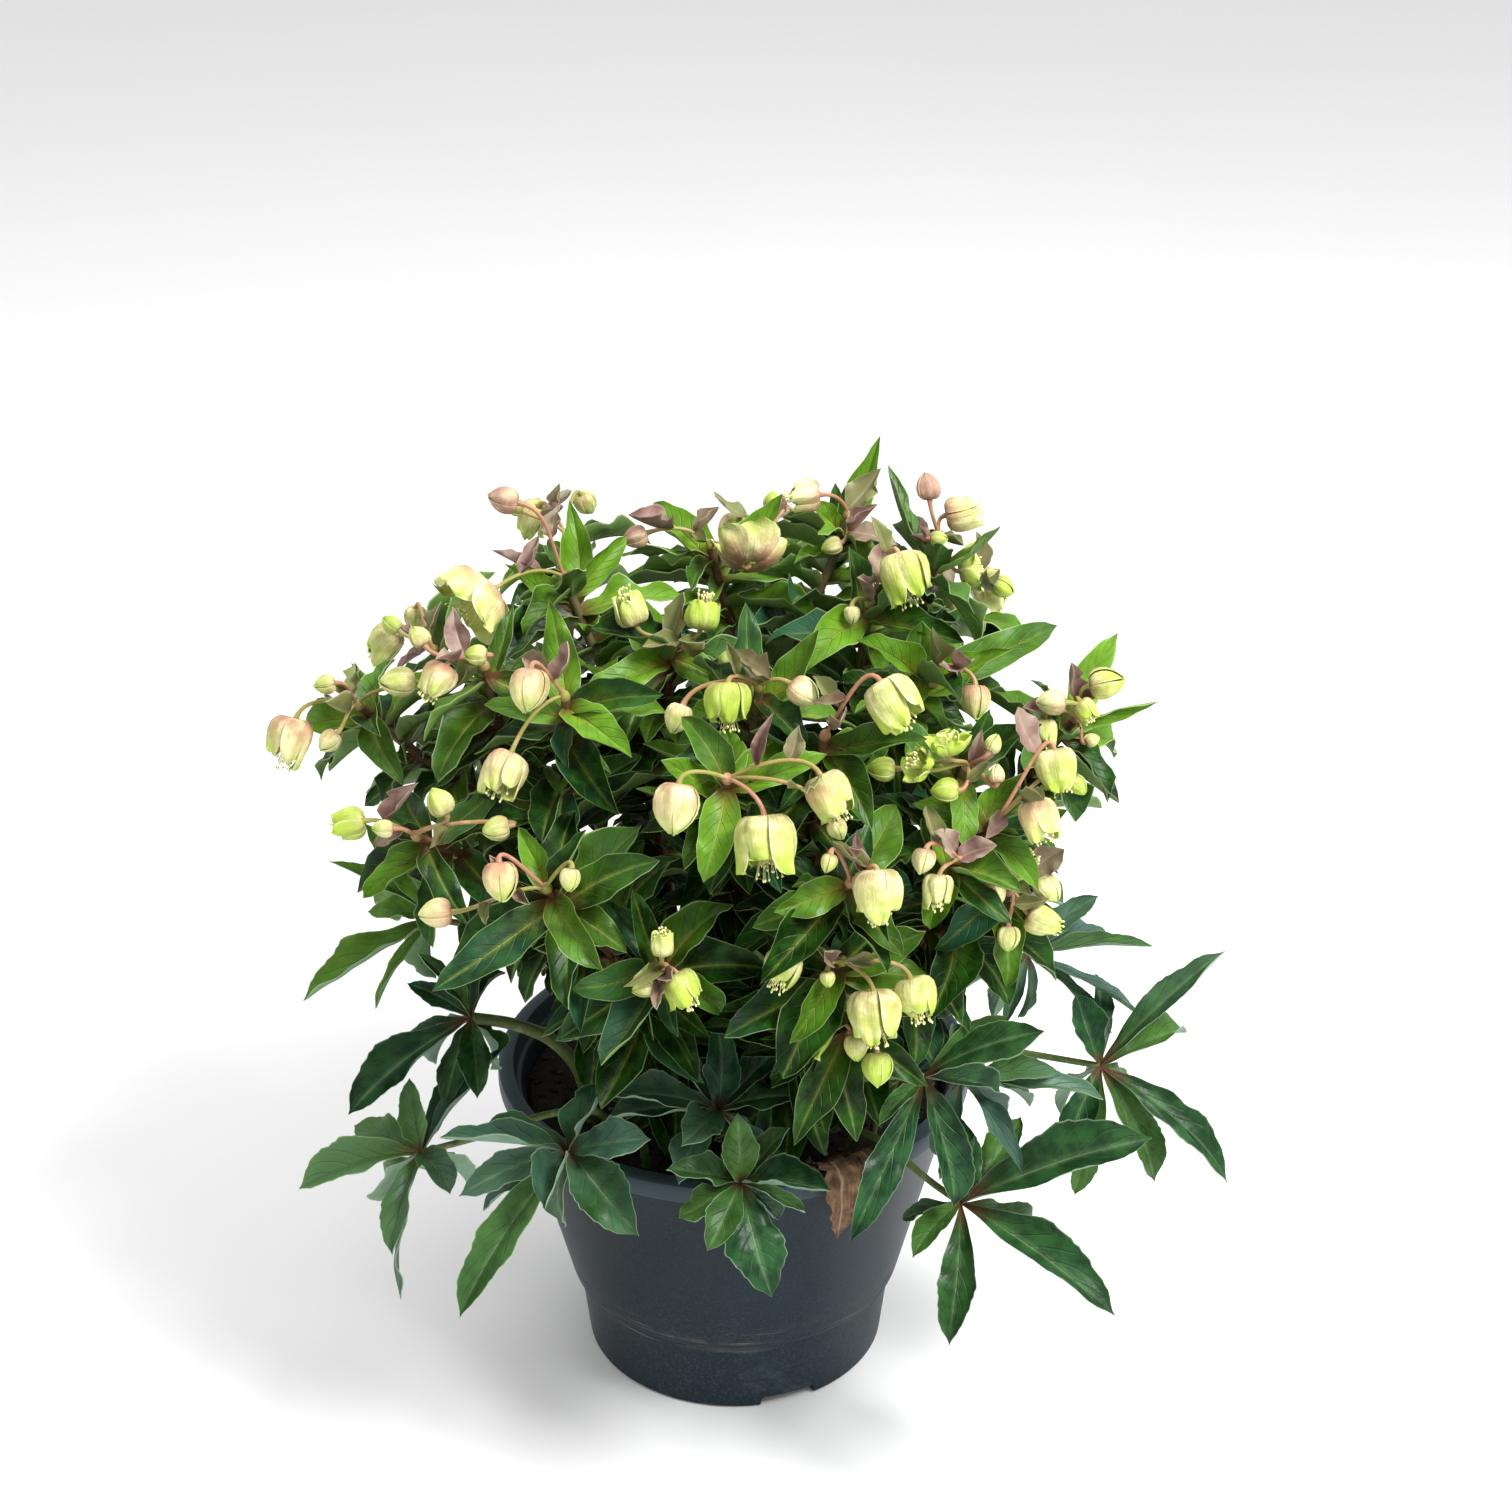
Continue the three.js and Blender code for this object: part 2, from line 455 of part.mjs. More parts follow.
function place(make, node, cyme, tries = PLAIN_TRIES) {
  for (const [room, turns, scales] of tries)
    for (const scale of scales)
      for (const [turn, lift] of turns) {
        const leaf = make(turn, lift, scale);
        if (!isClear(leaf, node, cyme, room)) continue;
        leafPoints(leaf).forEach((p) => kept.push({ p, r: BLADE.rib / 2, node }));
        return leaf;
      }
  return null;
}

// ---------- blooms ----------

// Sections as [share of the length, radius as a share of it], from the stalk's end to the mouth and back in.
const BLOOM_SIDES = 5;
const BUD = [[0.2, 0.37], [0.6, 0.43]];
const SMALL_BUD = { length: 12, sides: 4, belly: [0.45, 0.42] };
const CUP = {
  bell: { shoulder: [0.28, 0.4], tip: [1, 0.47], notch: [0.84, 0.42], inner: [0.4, 0.3], eye: 0.2 },
  open: { shoulder: [0.1, 0.16], tip: [0.4, 0.52], notch: [0.24, 0.3], inner: [0.2, 0.16], eye: 0.4 },
};

// The stalk's line: out of the fork's knob, over, and into the bloom.
function stalkLine(cyme, bloom) {
  const reach = bloom.foot.distanceTo(cyme.fork);
  const start = along(cyme.fork, cyme.axis, KNOB.height / 2);
  const way = bloom.foot.clone().sub(start).normalize().multiplyScalar(0.7).addScaledVector(cyme.axis, 0.6).normalize();
  return bezier(start, along(start, way, reach * 0.4), along(bloom.foot, bloom.axis, -reach * 0.34), bloom.foot, STALK.steps);
}

function bloomSkin(line, bloom) {
  const rings = tubeRings(line, () => STALK.radius, STALK.sides);
  const side = rings.at(-1)[0].clone().sub(line.at(-1));
  const middle = (t) => along(bloom.foot, bloom.axis, t * bloom.length);
  const level = ([t, r], sides = BLOOM_SIDES) => ring(middle(t), bloom.axis, r * bloom.length, sides, side);
  if (bloom.kind === "bud" && bloom.length < SMALL_BUD.length)
    return skin([...rings, level(SMALL_BUD.belly, SMALL_BUD.sides), [middle(1)]]);
  if (bloom.kind === "bud") return skin([...rings, ...BUD.map((section) => level(section)), [middle(1)]]);
  const cup = CUP[bloom.kind];
  const [tips, notches] = [level(cup.tip, 2 * BLOOM_SIDES), level(cup.notch, 2 * BLOOM_SIDES)];
  const mouth = tips.map((p, k) => (k % 2 ? p : notches[k]));
  return skin([...rings, level(cup.shoulder), mouth, level(cup.inner), [middle(cup.eye)]]);
}

// ---------- growing the plant ----------

function growCyme(name) {
  const { at, blooms } = CYMES[name];
  const fork = vec(at);
  const axis = fork.clone().sub(DOME_CENTRE).normalize().multiplyScalar(0.75).addScaledVector(UP, 0.45).normalize();
  const cyme = { name, fork, axis };
  cyme.blooms = blooms.map(([dx, dy, dz, length, kind, turn, lean]) => {
    const direction = bearing(turn, lean);
    const middle = fork.clone().add(vec([dx, dy, dz]));
    const depth = kind === "open" ? 0.25 : 0.5;
    return { kind, length, axis: direction, middle, foot: along(middle, direction, -depth * length) };
  });
  return cyme;
}

// The balls that stand for a bloom while leaves are kept clear of it.
const GIRTH = { bud: [[0.35, 0.36], [0.7, 0.32]], bell: [[0.35, 0.42], [0.75, 0.46]], open: [[0.3, 0.5]] };

function keepCyme(cyme) {
  const node = "cyme_" + cyme.name;
  kept.push({ p: along(cyme.fork, cyme.axis, KNOB.height / 2), r: KNOB.radius + 0.4, node });
  for (const bloom of cyme.blooms) {
    keepLine(finely(stalkLine(cyme, bloom)), () => STALK.radius, node);
    GIRTH[bloom.kind].forEach(([t, r]) =>
      kept.push({ p: along(bloom.foot, bloom.axis, t * bloom.length), r: r * bloom.length, node }));
  }
}

function cymeSolid(cyme) {
  const ends = [GAP, KNOB.height].map((s) => along(cyme.fork, cyme.axis, s));
  const knob = tube(ends, (t) => KNOB.radius - 0.4 * t);
  return wasm.Manifold.union([knob, ...cyme.blooms.map((bloom) => bloomSkin(stalkLine(cyme, bloom), bloom))]);
}

// The upright stretch of a stem or a leaf stalk inside its hole.
function rootLine(foot) {
  return [SOIL.top - HOLE_DEPTH + 1, SOIL.top + SOIL.crown + 1].map((z) => vec([...foot, z]));
}

// A stem: a trunk that rises from the soil, then a branch to each fork.
function growStem(name, cymes) {
  const { foot, carries } = STEMS[name];
  const ends = carries.map((c) => cymes.get(c));
  const [low, top] = rootLine(foot);
  const middle = ends.reduce((s, c) => s.add(c.fork), new THREE.Vector3()).divideScalar(ends.length);
  const split = top.clone().lerp(middle, 0.6).add(new THREE.Vector3(0, 0, 15));
  const rise = split.z - top.z;
  const way = middle.clone().sub(top).normalize();
  const trunk = [low, ...bezier(top, along(top, UP, rise * 0.4), along(split, way, -rise * 0.3), split, 3)];
  const lean = split.clone().sub(trunk.at(-2)).normalize();
  const branches = ends.map((cyme) => {
    const span = cyme.fork.distanceTo(split);
    return bezier(split, along(split, lean, span * 0.35), along(cyme.fork, cyme.axis, -span * 0.4), cyme.fork, 3);
  });
  return { name, trunk, branches, ends };
}

const trunkRadius = (t) => STEM_RADIUS.foot + (STEM_RADIUS.fork + 0.4 - STEM_RADIUS.foot) * t;
const branchRadius = (t) => STEM_RADIUS.fork + 0.4 * (1 - t);

function keepStem(stem) {
  keepLine(finely(stem.trunk), trunkRadius, stem.name);
  stem.branches.forEach((b) => keepLine(finely(b), branchRadius, stem.name));
}

// The point of a line that lies a way back from its end.
function backFromEnd(line, way) {
  let left = way;
  for (let i = line.length - 1; i > 0; i--) {
    const span = line[i].distanceTo(line[i - 1]);
    if (left <= span) return line[i].clone().lerp(line[i - 1], left / span);
    left -= span;
  }
  return line[0].clone();
}

// Bract leaves round a fork: the set ones, then as many more as the rule adds, by turns of the golden angle.
function growSetBracts(stem, cyme, branch) {
  const outward = cyme.fork.clone().sub(DOME_CENTRE).normalize();
  const upright = ([turn, lean]) => bearing(turn, lean).dot(cyme.axis);
  const leaves = [...CYMES[cyme.name].leaves].sort((a, b) => upright(a) - upright(b)); // these clear the knob from below
  return leaves.map(([turn, lean, length, width, roll = 0], i) => {
    const foot = backFromEnd(branch, LEAF_SPACING.first + LEAF_SPACING.next * i);
    return place((dTurn, dLean, scale) => {
      const heading = bearing(turn + dTurn, lean + dLean);
      const face = outward.clone().multiplyScalar(0.5).addScaledVector(FRONT, 0.7).addScaledVector(UP, 0.25);
      face.copy(squareTo(face, heading)).applyAxisAngle(heading, rad(roll));
      const arch = heading.dot(cyme.axis) > RISING ? ARCH.rising : ARCH.spreading;
      return makeLeaf(foot, heading, face, length * scale, width * (0.5 + scale / 2), arch, width > 14 ? "bract" : "plain");
    }, stem.name, "cyme_" + cyme.name, SET_TRIES);
  });
}

function growMoreBracts(stem, cyme, branch) {
  const { leaves, more } = CYMES[cyme.name];
  const start = LEAF_SPACING.first + LEAF_SPACING.next * leaves.length;
  const line = [...stem.trunk.slice(0, -1), ...branch];
  return Array.from({ length: more }, (_, i) => {
    const [spin, open, length] = [draw(0, 40) + i * 137.5, draw(62, 98), draw(42, 52) + 2 * i];
    const foot = backFromEnd(line, start + LEAF_SPACING.more * i);
    return place((dTurn, dLean, scale) => {
      const out = squareTo(RIGHT, cyme.axis).applyAxisAngle(cyme.axis, rad(spin + dTurn));
      const heading = cyme.axis.clone().multiplyScalar(Math.cos(rad(open + dLean)))
        .addScaledVector(out, Math.sin(rad(open + dLean)));
      const face = cyme.axis.clone().addScaledVector(UP, 0.4);
      return makeLeaf(foot, heading, face, length * scale, length * scale * 0.42, ARCH.more, "plain");
    }, stem.name, "cyme_" + cyme.name);
  });
}

function growFan(name) {
  const { foot, at, leaflets } = FANS[name];
  const [[low, top], knot] = [rootLine(foot), vec(at)];
  const span = knot.distanceTo(top);
  const outward = knot.clone().sub(vec([foot[0], foot[1], at[2] - 20])).normalize();
  const line = [low, ...bezier(top, along(top, UP, span * 0.5), along(knot, outward, -span * 0.3), knot, 4)];
  keepLine(finely(line), petioleRadius, name);
  return { name, line, knot, outward, leaflets };
}

const petioleRadius = (t) => PETIOLE_RADIUS.foot + (PETIOLE_RADIUS.knot - PETIOLE_RADIUS.foot) * t;

function growLeaflets(fan) {
  return fan.leaflets.map(([turn, lean, length, width, roll = 0]) =>
    place((dTurn, dLean, scale) => {
      const heading = bearing(turn + dTurn, lean + dLean);
      const face = UP.clone().multiplyScalar(0.8).addScaledVector(FRONT, 0.35).addScaledVector(fan.outward, 0.25);
      face.copy(squareTo(face, heading)).applyAxisAngle(heading, rad(roll));
      return makeLeaf(fan.knot, heading, face, length * scale, width, ARCH.leaflet, "leaflet");
    }, fan.name, fan.name)).filter((leaf) => leaf);
}

function stemSolid(stem, leaves) {
  const branches = stem.branches.map((line, i) => tube(line, branchRadius, stem.ends[i].axis));
  return wasm.Manifold.union([tube(stem.trunk, trunkRadius), ...branches, ...leaves.map(blade)]);
}

function fanSolid(fan, leaves) {
  return wasm.Manifold.union([tube(fan.line, petioleRadius), ...leaves.map(blade)]);
}

// ---------- the dried leaf ----------

function witheredRings() {
  const out = RIGHT.clone().applyAxisAngle(UP, rad(WITHERED.turn));
  const side = new THREE.Vector3().crossVectors(UP, out);
  const line = WITHERED.rib.map(([r, z]) => out.clone().multiplyScalar(r).addScaledVector(UP, z));
  return headings(line).map((d, i) => {
    const half = WITHERED.half * WITHERED.spread[i];
    if (half === 0) return [line[i]];
    const normal = new THREE.Vector3().crossVectors(d, side);
    const edge = (s) => along(along(line[i], side, s * half), normal, half * WITHERED.curl[i]);
    return [along(line[i], normal, WITHERED.thick / 2), edge(1), along(line[i], normal, -WITHERED.thick / 2), edge(-1)];
  });
}

// ---------- pot and soil ----------

// The pot's outer line from the foot up, and its inner line from the lip down, as [radius, z].
function outerLine() {
  const { height, lipRadius, footRadius, bandHeight } = POT;
  return [[0, 0], [footRadius, 0], [footRadius + 5, bandHeight - 2], [footRadius + 8, bandHeight],
    [lipRadius - 6, height - 11], [lipRadius, height - 10], [lipRadius, height - 1], [lipRadius - 7, height]];
}

function innerLine() {
  const { height, lipRadius, footRadius, bandHeight, wall, floor } = POT;
  return [[lipRadius - 8, height - 4], [footRadius + 8 - wall, bandHeight], [footRadius - wall, floor], [0, floor]];
}

// The inner wall's radius at a height, on the flats between the pot's corners.
function innerRadius(z) {
  const line = innerLine().slice(0, 3);
  const above = z > line[1][1] ? 0 : 1;
  const [[r1, z1], [r0, z0]] = [line[above], line[above + 1]];
  return (r0 + ((r1 - r0) * (z - z0)) / (z1 - z0)) * Math.cos(Math.PI / POT.sides);
}

function lathe(profile) {
  const points = profile.map(([r, z]) => new THREE.Vector2(r, z));
  return ofGeometry(new THREE.LatheGeometry(points, POT.sides).rotateX(Math.PI / 2));
}

function potSolid() {
  const slots = Array.from({ length: POT.slots }, (_, k) => {
    const box = new THREE.BoxGeometry(24, POT.slotWidth, 2 * POT.slotHeight).translate(POT.footRadius, 0, 0);
    return ofGeometry(box.rotateZ(rad(POT.slotTurn + (360 / POT.slots) * k)));
  });
  return lathe([...outerLine(), ...innerLine()]).subtract(wasm.Manifold.union(slots));
}

function soilSolid(roots) {
  const { floor, bandHeight } = POT;
  const beside = (z) => [innerRadius(z) - SOIL.gap, z];
  const filling = lathe([[0, floor + SOIL.gap], beside(floor + SOIL.gap), beside(bandHeight), beside(SOIL.top - 3),
    [88, SOIL.top], [0, SOIL.top + SOIL.crown]]);
  const holes = roots.map(([foot, radius]) => {
    const [low, top] = rootLine(foot);
    return tube([along(low, UP, -1), along(top, UP, 9)], () => radius + HOLE_CLEARANCE);
  });
  return filling.subtract(wasm.Manifold.union(holes));
}

// ---------- the part ----------

const part = new THREE.Group();

function addMesh(name, made, look) {
  const mesh = made.getMesh();
  const stride = mesh.numProp;
  const position = new Float32Array(mesh.numVert * 3);
  for (let i = 0; i < mesh.numVert; i++) position.set(mesh.vertProperties.subarray(i * stride, i * stride + 3), i * 3);
  const geometry = new THREE.BufferGeometry().setAttribute("position", new THREE.BufferAttribute(position, 3));
  geometry.setIndex(new THREE.BufferAttribute(mesh.triVerts, 1));
  const material = new THREE.MeshStandardMaterial({ ...COLOURS[look], metalness: 0 });
  const body = new THREE.Mesh(geometry, material);
  body.name = name;
  part.add(body);
}

const cymes = new Map(Object.keys(CYMES).map((name) => [name, growCyme(name)]));
const stems = Object.keys(STEMS).map((name) => growStem(name, cymes));
const fans = Object.keys(FANS).map(growFan);
witheredRings().flat().forEach((p) => kept.push({ p, r: 2, node: "withered_leaf" }));
cymes.forEach(keepCyme);
stems.forEach(keepStem);

const leavesOf = new Map(stems.map((stem) => [stem, []]));
const leafOut = (grow) => stems.forEach((stem) => stem.ends.forEach((cyme, i) =>
  leavesOf.get(stem).push(...grow(stem, cyme, stem.branches[i]).filter((leaf) => leaf))));
leafOut(growSetBracts);
const leafletsOf = new Map(fans.map((fan) => [fan, growLeaflets(fan)]));
leafOut(growMoreBracts);

addMesh("pot", potSolid(), "pot");
addMesh("soil", soilSolid([...Object.values(STEMS).map(({ foot }) => [foot, STEM_RADIUS.foot]),
  ...Object.values(FANS).map(({ foot }) => [foot, PETIOLE_RADIUS.foot])]), "soil");
addMesh("withered_leaf", skin(witheredRings()), "withered");
stems.forEach((stem) => addMesh(stem.name, stemSolid(stem, leavesOf.get(stem)), "leaf"));
cymes.forEach((cyme) => addMesh("cyme_" + cyme.name, cymeSolid(cyme), "bloom"));
fans.forEach((fan) => addMesh(fan.name, fanSolid(fan, leafletsOf.get(fan)), "leaflet"));

export default part;
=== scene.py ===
"""A hellebore in a round nursery pot: a finer piece for each node of the frame, the finishes and the studio.

Lengths are millimetres while things grow, and become metres where a mesh is made. The leaves are placed by
the same rule, tables and seed as the solids, so each finer blade lies where its solid lies.
"""
import math
import random
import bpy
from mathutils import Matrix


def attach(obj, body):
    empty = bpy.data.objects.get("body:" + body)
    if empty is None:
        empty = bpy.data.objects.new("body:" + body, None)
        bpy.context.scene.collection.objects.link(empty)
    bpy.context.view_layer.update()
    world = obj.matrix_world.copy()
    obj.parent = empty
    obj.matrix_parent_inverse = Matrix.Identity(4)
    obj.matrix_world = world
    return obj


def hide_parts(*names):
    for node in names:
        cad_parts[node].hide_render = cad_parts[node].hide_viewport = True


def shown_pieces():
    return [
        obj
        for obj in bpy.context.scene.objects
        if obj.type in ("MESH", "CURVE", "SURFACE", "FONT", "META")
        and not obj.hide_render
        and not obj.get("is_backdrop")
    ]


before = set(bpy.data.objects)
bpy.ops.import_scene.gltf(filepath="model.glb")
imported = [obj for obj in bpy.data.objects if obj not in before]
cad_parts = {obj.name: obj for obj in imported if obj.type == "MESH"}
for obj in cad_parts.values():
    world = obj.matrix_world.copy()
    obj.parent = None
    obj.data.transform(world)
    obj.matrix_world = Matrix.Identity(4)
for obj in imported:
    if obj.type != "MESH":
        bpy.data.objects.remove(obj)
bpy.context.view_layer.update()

from types import SimpleNamespace

import bpy
import numpy as np
from mathutils import noise

MM = 0.001
ROUND = 2 * math.pi

# ---------- measures, as the solids have them ----------

POT = {"height": 158, "lip": 115, "foot": 74, "band": 42, "wall": 2, "floor": 3, "sides": 24,
       "slots": 3, "slot_turn": -69, "slot_width": 28, "slot_height": 5.5, "slot_depth": 24}
SOIL = {"top": 140, "crown": 3}
HOLE_DEPTH = 22
# Room round a leaf: how far it keeps clear of all else, and how near its foot it may touch its own node.
WIDE = {"clear": 2.2, "root": 7}
CLOSE = {"clear": 1.1, "root": 17}
CLEAR_AT_FORK = 0.5
FORK_ZONE = 13  # so near its foot a leaf may come as close as that to its fork's cyme
RIB = 1.5  # how thick the rule takes a blade to be
STEP = 4.2  # between the points that are tested
STEM_RADIUS = (3.1, 2.1)
KNOB = {"radius": 2.5, "height": 4.4}
STALK_RADIUS = 1.05
STALK_STEPS = 2
RISING = 0.62  # a leaf this much along its cyme's axis curves towards its upper face
ARCH = {"rising": -0.8, "spreading": 0.5, "more": 0.6, "leaflet": 0.6}
SPACING = {"first": 4, "next": 3.2, "more": 41}  # of leaves, back from a branch's end
PETIOLE_RADIUS = (2.5, 1.8)
FOLD = 0.3
SEED = 2411
SIGHT = math.radians(26)  # bearings are told on a plane that leans back by this
RIGHT = np.array((1.0, 0.0, 0.0))
RISE = np.array((0.0, math.sin(SIGHT), math.cos(SIGHT)))
FRONT = np.array((0.0, -math.cos(SIGHT), math.sin(SIGHT)))
UP = np.array((0.0, 0.0, 1.0))
DOME = np.array((-5.0, 0.0, 235.0))  # the middle of the bush, which leaves and cymes face away from
SEAM = np.array((0.31, -0.9, 0.2))  # where the turns round a stalk start

# Cymes by name: the fork, how many leaves the rule adds, the blooms and the leaves.
# A bloom: dx, dy, dz from the fork to its middle, length, kind, bearing, lean.
# A leaf: bearing, lean, length, width, and a roll if it has one.
CYMES = {
    "a": ((-75, 8, 402), 5,
        [(-39, -25, -1, 40, "open", -140, 15), (-27, 0, 39, 14, "bud", 170, 0)],
        [(107, -8, 56, 18), (150, 15, 36, 13), (64, -12, 38, 14, 50), (-150, 30, 40, 18)]),
    "b": ((-10, 40, 405), 5,
        [(-35, -6, 8, 12, "bud", 200, 0), (18, -18, 7, 30, "open", 88, -25)],
        [(142, -25, 46, 20), (167, 10, 50, 13, 50), (66, -30, 36, 12), (41, -8, 50, 17)]),
    "c": ((-26, -40, 389), 4,
        [(-18, -4, 22, 15, "bell", 110, 10), (14, -4, 20, 15, "bell", 80, 0), (25, -10, 1, 9, "bud", 60, 0)],
        [(120, -12, 36, 14), (-160, 30, 46, 18), (-20, 30, 42, 17)]),
    "d": ((-164, -35, 359), 4,
        [(-15, -6, 14, 10, "bud", 190, 0), (-31, -12, -11, 21, "bell", -105, 0),
         (-13, -18, -8, 11, "bud", -135, 10), (18, -14, 19, 16, "bud", 180, 20)],
        [(118, -12, 34, 13), (175, -20, 40, 17), (-60, 20, 38, 16)]),
    "e": ((-106, -55, 387), 4,
        [(-28, 0, 16, 10, "bud", 120, 0), (-20, -14, 0, 16, "bell", -120, 10),
         (-3, -12, 12, 10, "bud", 180, 0)],
        [(75, -10, 38, 12), (-15, 10, 42, 17), (28, -25, 36, 15)]),
    "f": ((-70, -80, 384), 4,
        [(-14, -16, 11, 19, "bud", -95, 5), (-26, -22, -25, 19, "bell", -110, 15)],
        [(98, -5, 56, 17), (10, 25, 44, 18), (-35, 35, 44, 19), (170, 15, 36, 15)]),
    "g": ((-133, -100, 328), 4,
        [(10, -6, 21, 13, "bud", 120, 10), (-30, 0, 7, 14, "bell", 190, 0), (-14, -10, 10, 9, "bud", 180, 10),
         (34, -14, 12, 12, "bud", 190, 10)],
        [(-60, 20, 44, 14), (-145, 10, 40, 16), (40, 20, 40, 15)]),
    "h": ((-75, -142, 326), 4,
        [(-18, -14, 11, 17, "bud", -85, 0), (-47, -4, -9, 14, "bud", 185, 5),
         (10, -14, 12, 10, "bud", -100, 0)],
        [(-55, 30, 42, 18), (200, 20, 66, 20), (35, 25, 50, 18), (120, -12, 34, 14)]),
    "i": ((-1, -130, 370), 4,
        [(-21, -16, -5, 22, "bud", -98, 0), (16, -22, -18, 24, "bell", -85, 0),
         (42, -10, -2, 19, "bell", -65, 0), (45, -14, -15, 9, "bud", -70, 0)],
        [(92, -12, 36, 17), (-92, 25, 42, 18), (150, 35, 36, 15), (8, 15, 44, 16)]),
    "j": ((12, -88, 392), 4,
        [(-34, -10, -9, 13, "bud", -110, 0), (-13, -14, -1, 19, "bell", -90, 0),
         (19, -12, 4, 14, "bud", -35, 10)],
        [(95, -12, 43, 15), (45, 15, 44, 18), (-30, 30, 34, 15)]),
    "k": ((39, -108, 379), 4,
        [(28, -14, 22, 21, "bell", -60, 5)],
        [(2, 15, 46, 17), (-60, 25, 42, 17)]),
    "l": ((61, -10, 397), 4,
        [(15, -16, 20, 22, "bell", -75, 5), (-8, -12, 1, 8, "bud", -90, 0)],
        [(-12, 25, 46, 19), (-150, 30, 48, 19), (100, -12, 40, 18)]),
    "m": ((53, 45, 418), 4,
        [(-21, -8, 14, 15, "bell", 185, 0), (-8, -12, -9, 10, "bud", 200, 0)],
        [(69, -12, 56, 17), (93, -30, 34, 10), (128, -10, 26, 10), (-75, 25, 30, 17)]),
    "n": ((94, 35, 402), 4,
        [(-5, 0, 36, 13, "bud", 95, 0), (12, 8, 20, 16, "bell", 10, 5), (0, -10, 14, 8, "bud", 0, 0),
         (16, 5, -7, 20, "open", 10, 10)],
        [(118, -12, 54, 12, 45), (42, 20, 52, 14)]),
    "o": ((86, -50, 384), 4,
        [(19, -16, -8, 15, "bud", -90, 0)],
        [(47, 0, 50, 19), (20, 28, 46, 18), (24, -20, 76, 19), (155, 20, 36, 18), (-130, 30, 34, 15)]),
    "p": ((152, -30, 350), 4,
        [(14, -4, 21, 16, "bud", 10, 5), (-12, -14, 16, 13, "bud", 180, 0), (4, -10, 10, 10, "bell", -60, 0),
         (-14, -14, 1, 12, "bell", -90, 0), (9, -4, -7, 7, "bud", 20, 0)],
        [(60, -28, 54, 17), (25, 5, 45, 8, 50)]),
    "q": ((99, -100, 361), 4,
        [(-9, -10, 17, 17, "open", 95, 20), (-21, -12, 8, 16, "open", 150, 30),
         (-10, -14, -3, 12, "bud", 180, 0), (11, -6, 15, 8, "bud", 60, 0), (12, -12, 4, 8, "bud", 90, 0),
         (-36, -4, 2, 12, "bud", 180, 0)],
        [(75, -12, 36, 17), (-100, 25, 34, 13), (150, 10, 40, 15)]),
    "r": ((110, -112, 341), 3,
        [(18, -14, 9, 17, "bell", -75, 0), (27, 6, 22, 18, "bell", -80, 0), (36, 6, 15, 9, "bud", -50, 0)],
        [(125, -12, 34, 18), (55, -12, 36, 17), (-45, 20, 36, 15), (5, 0, 40, 13)]),
    "s": ((49, -150, 333), 4,
        [(11, -12, 1, 21, "bell", -88, 0), (-9, -10, 15, 8, "bud", -100, 0)],
        [(57, -12, 46, 21), (190, 20, 34, 16), (-60, 25, 38, 16)]),
    "t": ((94, -128, 332), 3,
        [(-14, -10, 5, 11, "bud", -100, 0), (-8, -12, -8, 14, "bell", -95, 0)],
        [(-42, 25, 36, 13), (-110, 20, 36, 16), (90, -12, 32, 15)]),
    "u": ((118, -112, 308), 3,
        [(4, -6, 17, 14, "bell", 30, 10), (-6, -12, 7, 11, "bud", -60, 0), (17, -2, 3, 13, "bud", -55, 0),
         (15, -6, -10, 14, "bell", -25, 0), (0, -10, -17, 11, "bud", -90, 0)],
        [(-20, 0, 42, 15), (-60, 10, 40, 15), (-115, 15, 38, 16)]),
    "v": ((46, -148, 295), 4,
        [(-25, -12, 3, 16, "bell", -105, 0), (-6, -14, 0, 7, "bud", -90, 0),
         (14, -16, -17, 22, "bell", -85, 0), (31, -10, -12, 18, "bell", -75, 0)],
        [(-132, 20, 40, 16), (10, 20, 42, 17), (155, 15, 36, 15)]),
    "w": ((51, -140, 256), 4,
        [(-17, -8, 5, 17, "bell", -120, 10), (2, -14, 1, 12, "bud", -90, 0),
         (11, -16, -9, 15, "bud", -88, 0)],
        [(-128, 20, 54, 19), (-45, 20, 44, 17)]),
    "x": ((-27, -150, 293), 4,
        [(-1, -8, 17, 10, "bell", 90, 10), (8, -10, -4, 15, "bell", -65, 0),
         (-9, -10, -3, 10, "bud", 195, 0)],
        [(190, 15, 40, 18), (-35, 20, 34, 16), (130, -12, 40, 15)]),
    "back_a": ((-80, 95, 388), 6,
        [(-18, 18, 4, 17, "bell", -120, -40), (8, 22, 10, 13, "bud", -60, -40),
         (-26, 4, 16, 10, "bud", 150, 0)], []),
    "back_b": ((-140, 45, 350), 6,
        [(-26, 8, 2, 17, "bell", -130, -20), (-12, 22, 8, 13, "bud", -100, -30),
         (-20, -6, 18, 10, "bud", 140, 0)], []),
    "back_c": ((15, 125, 372), 6,
        [(-14, 26, -4, 21, "bell", -100, -40), (16, 24, 4, 14, "bud", -70, -40),
         (4, 14, 20, 10, "bud", 80, -20)], []),
    "back_d": ((108, 98, 350), 6,
        [(18, 20, 2, 19, "bell", -70, -40), (-8, 26, 6, 13, "bud", -100, -40),
         (24, 4, 10, 12, "bud", -30, -10)], []),
}

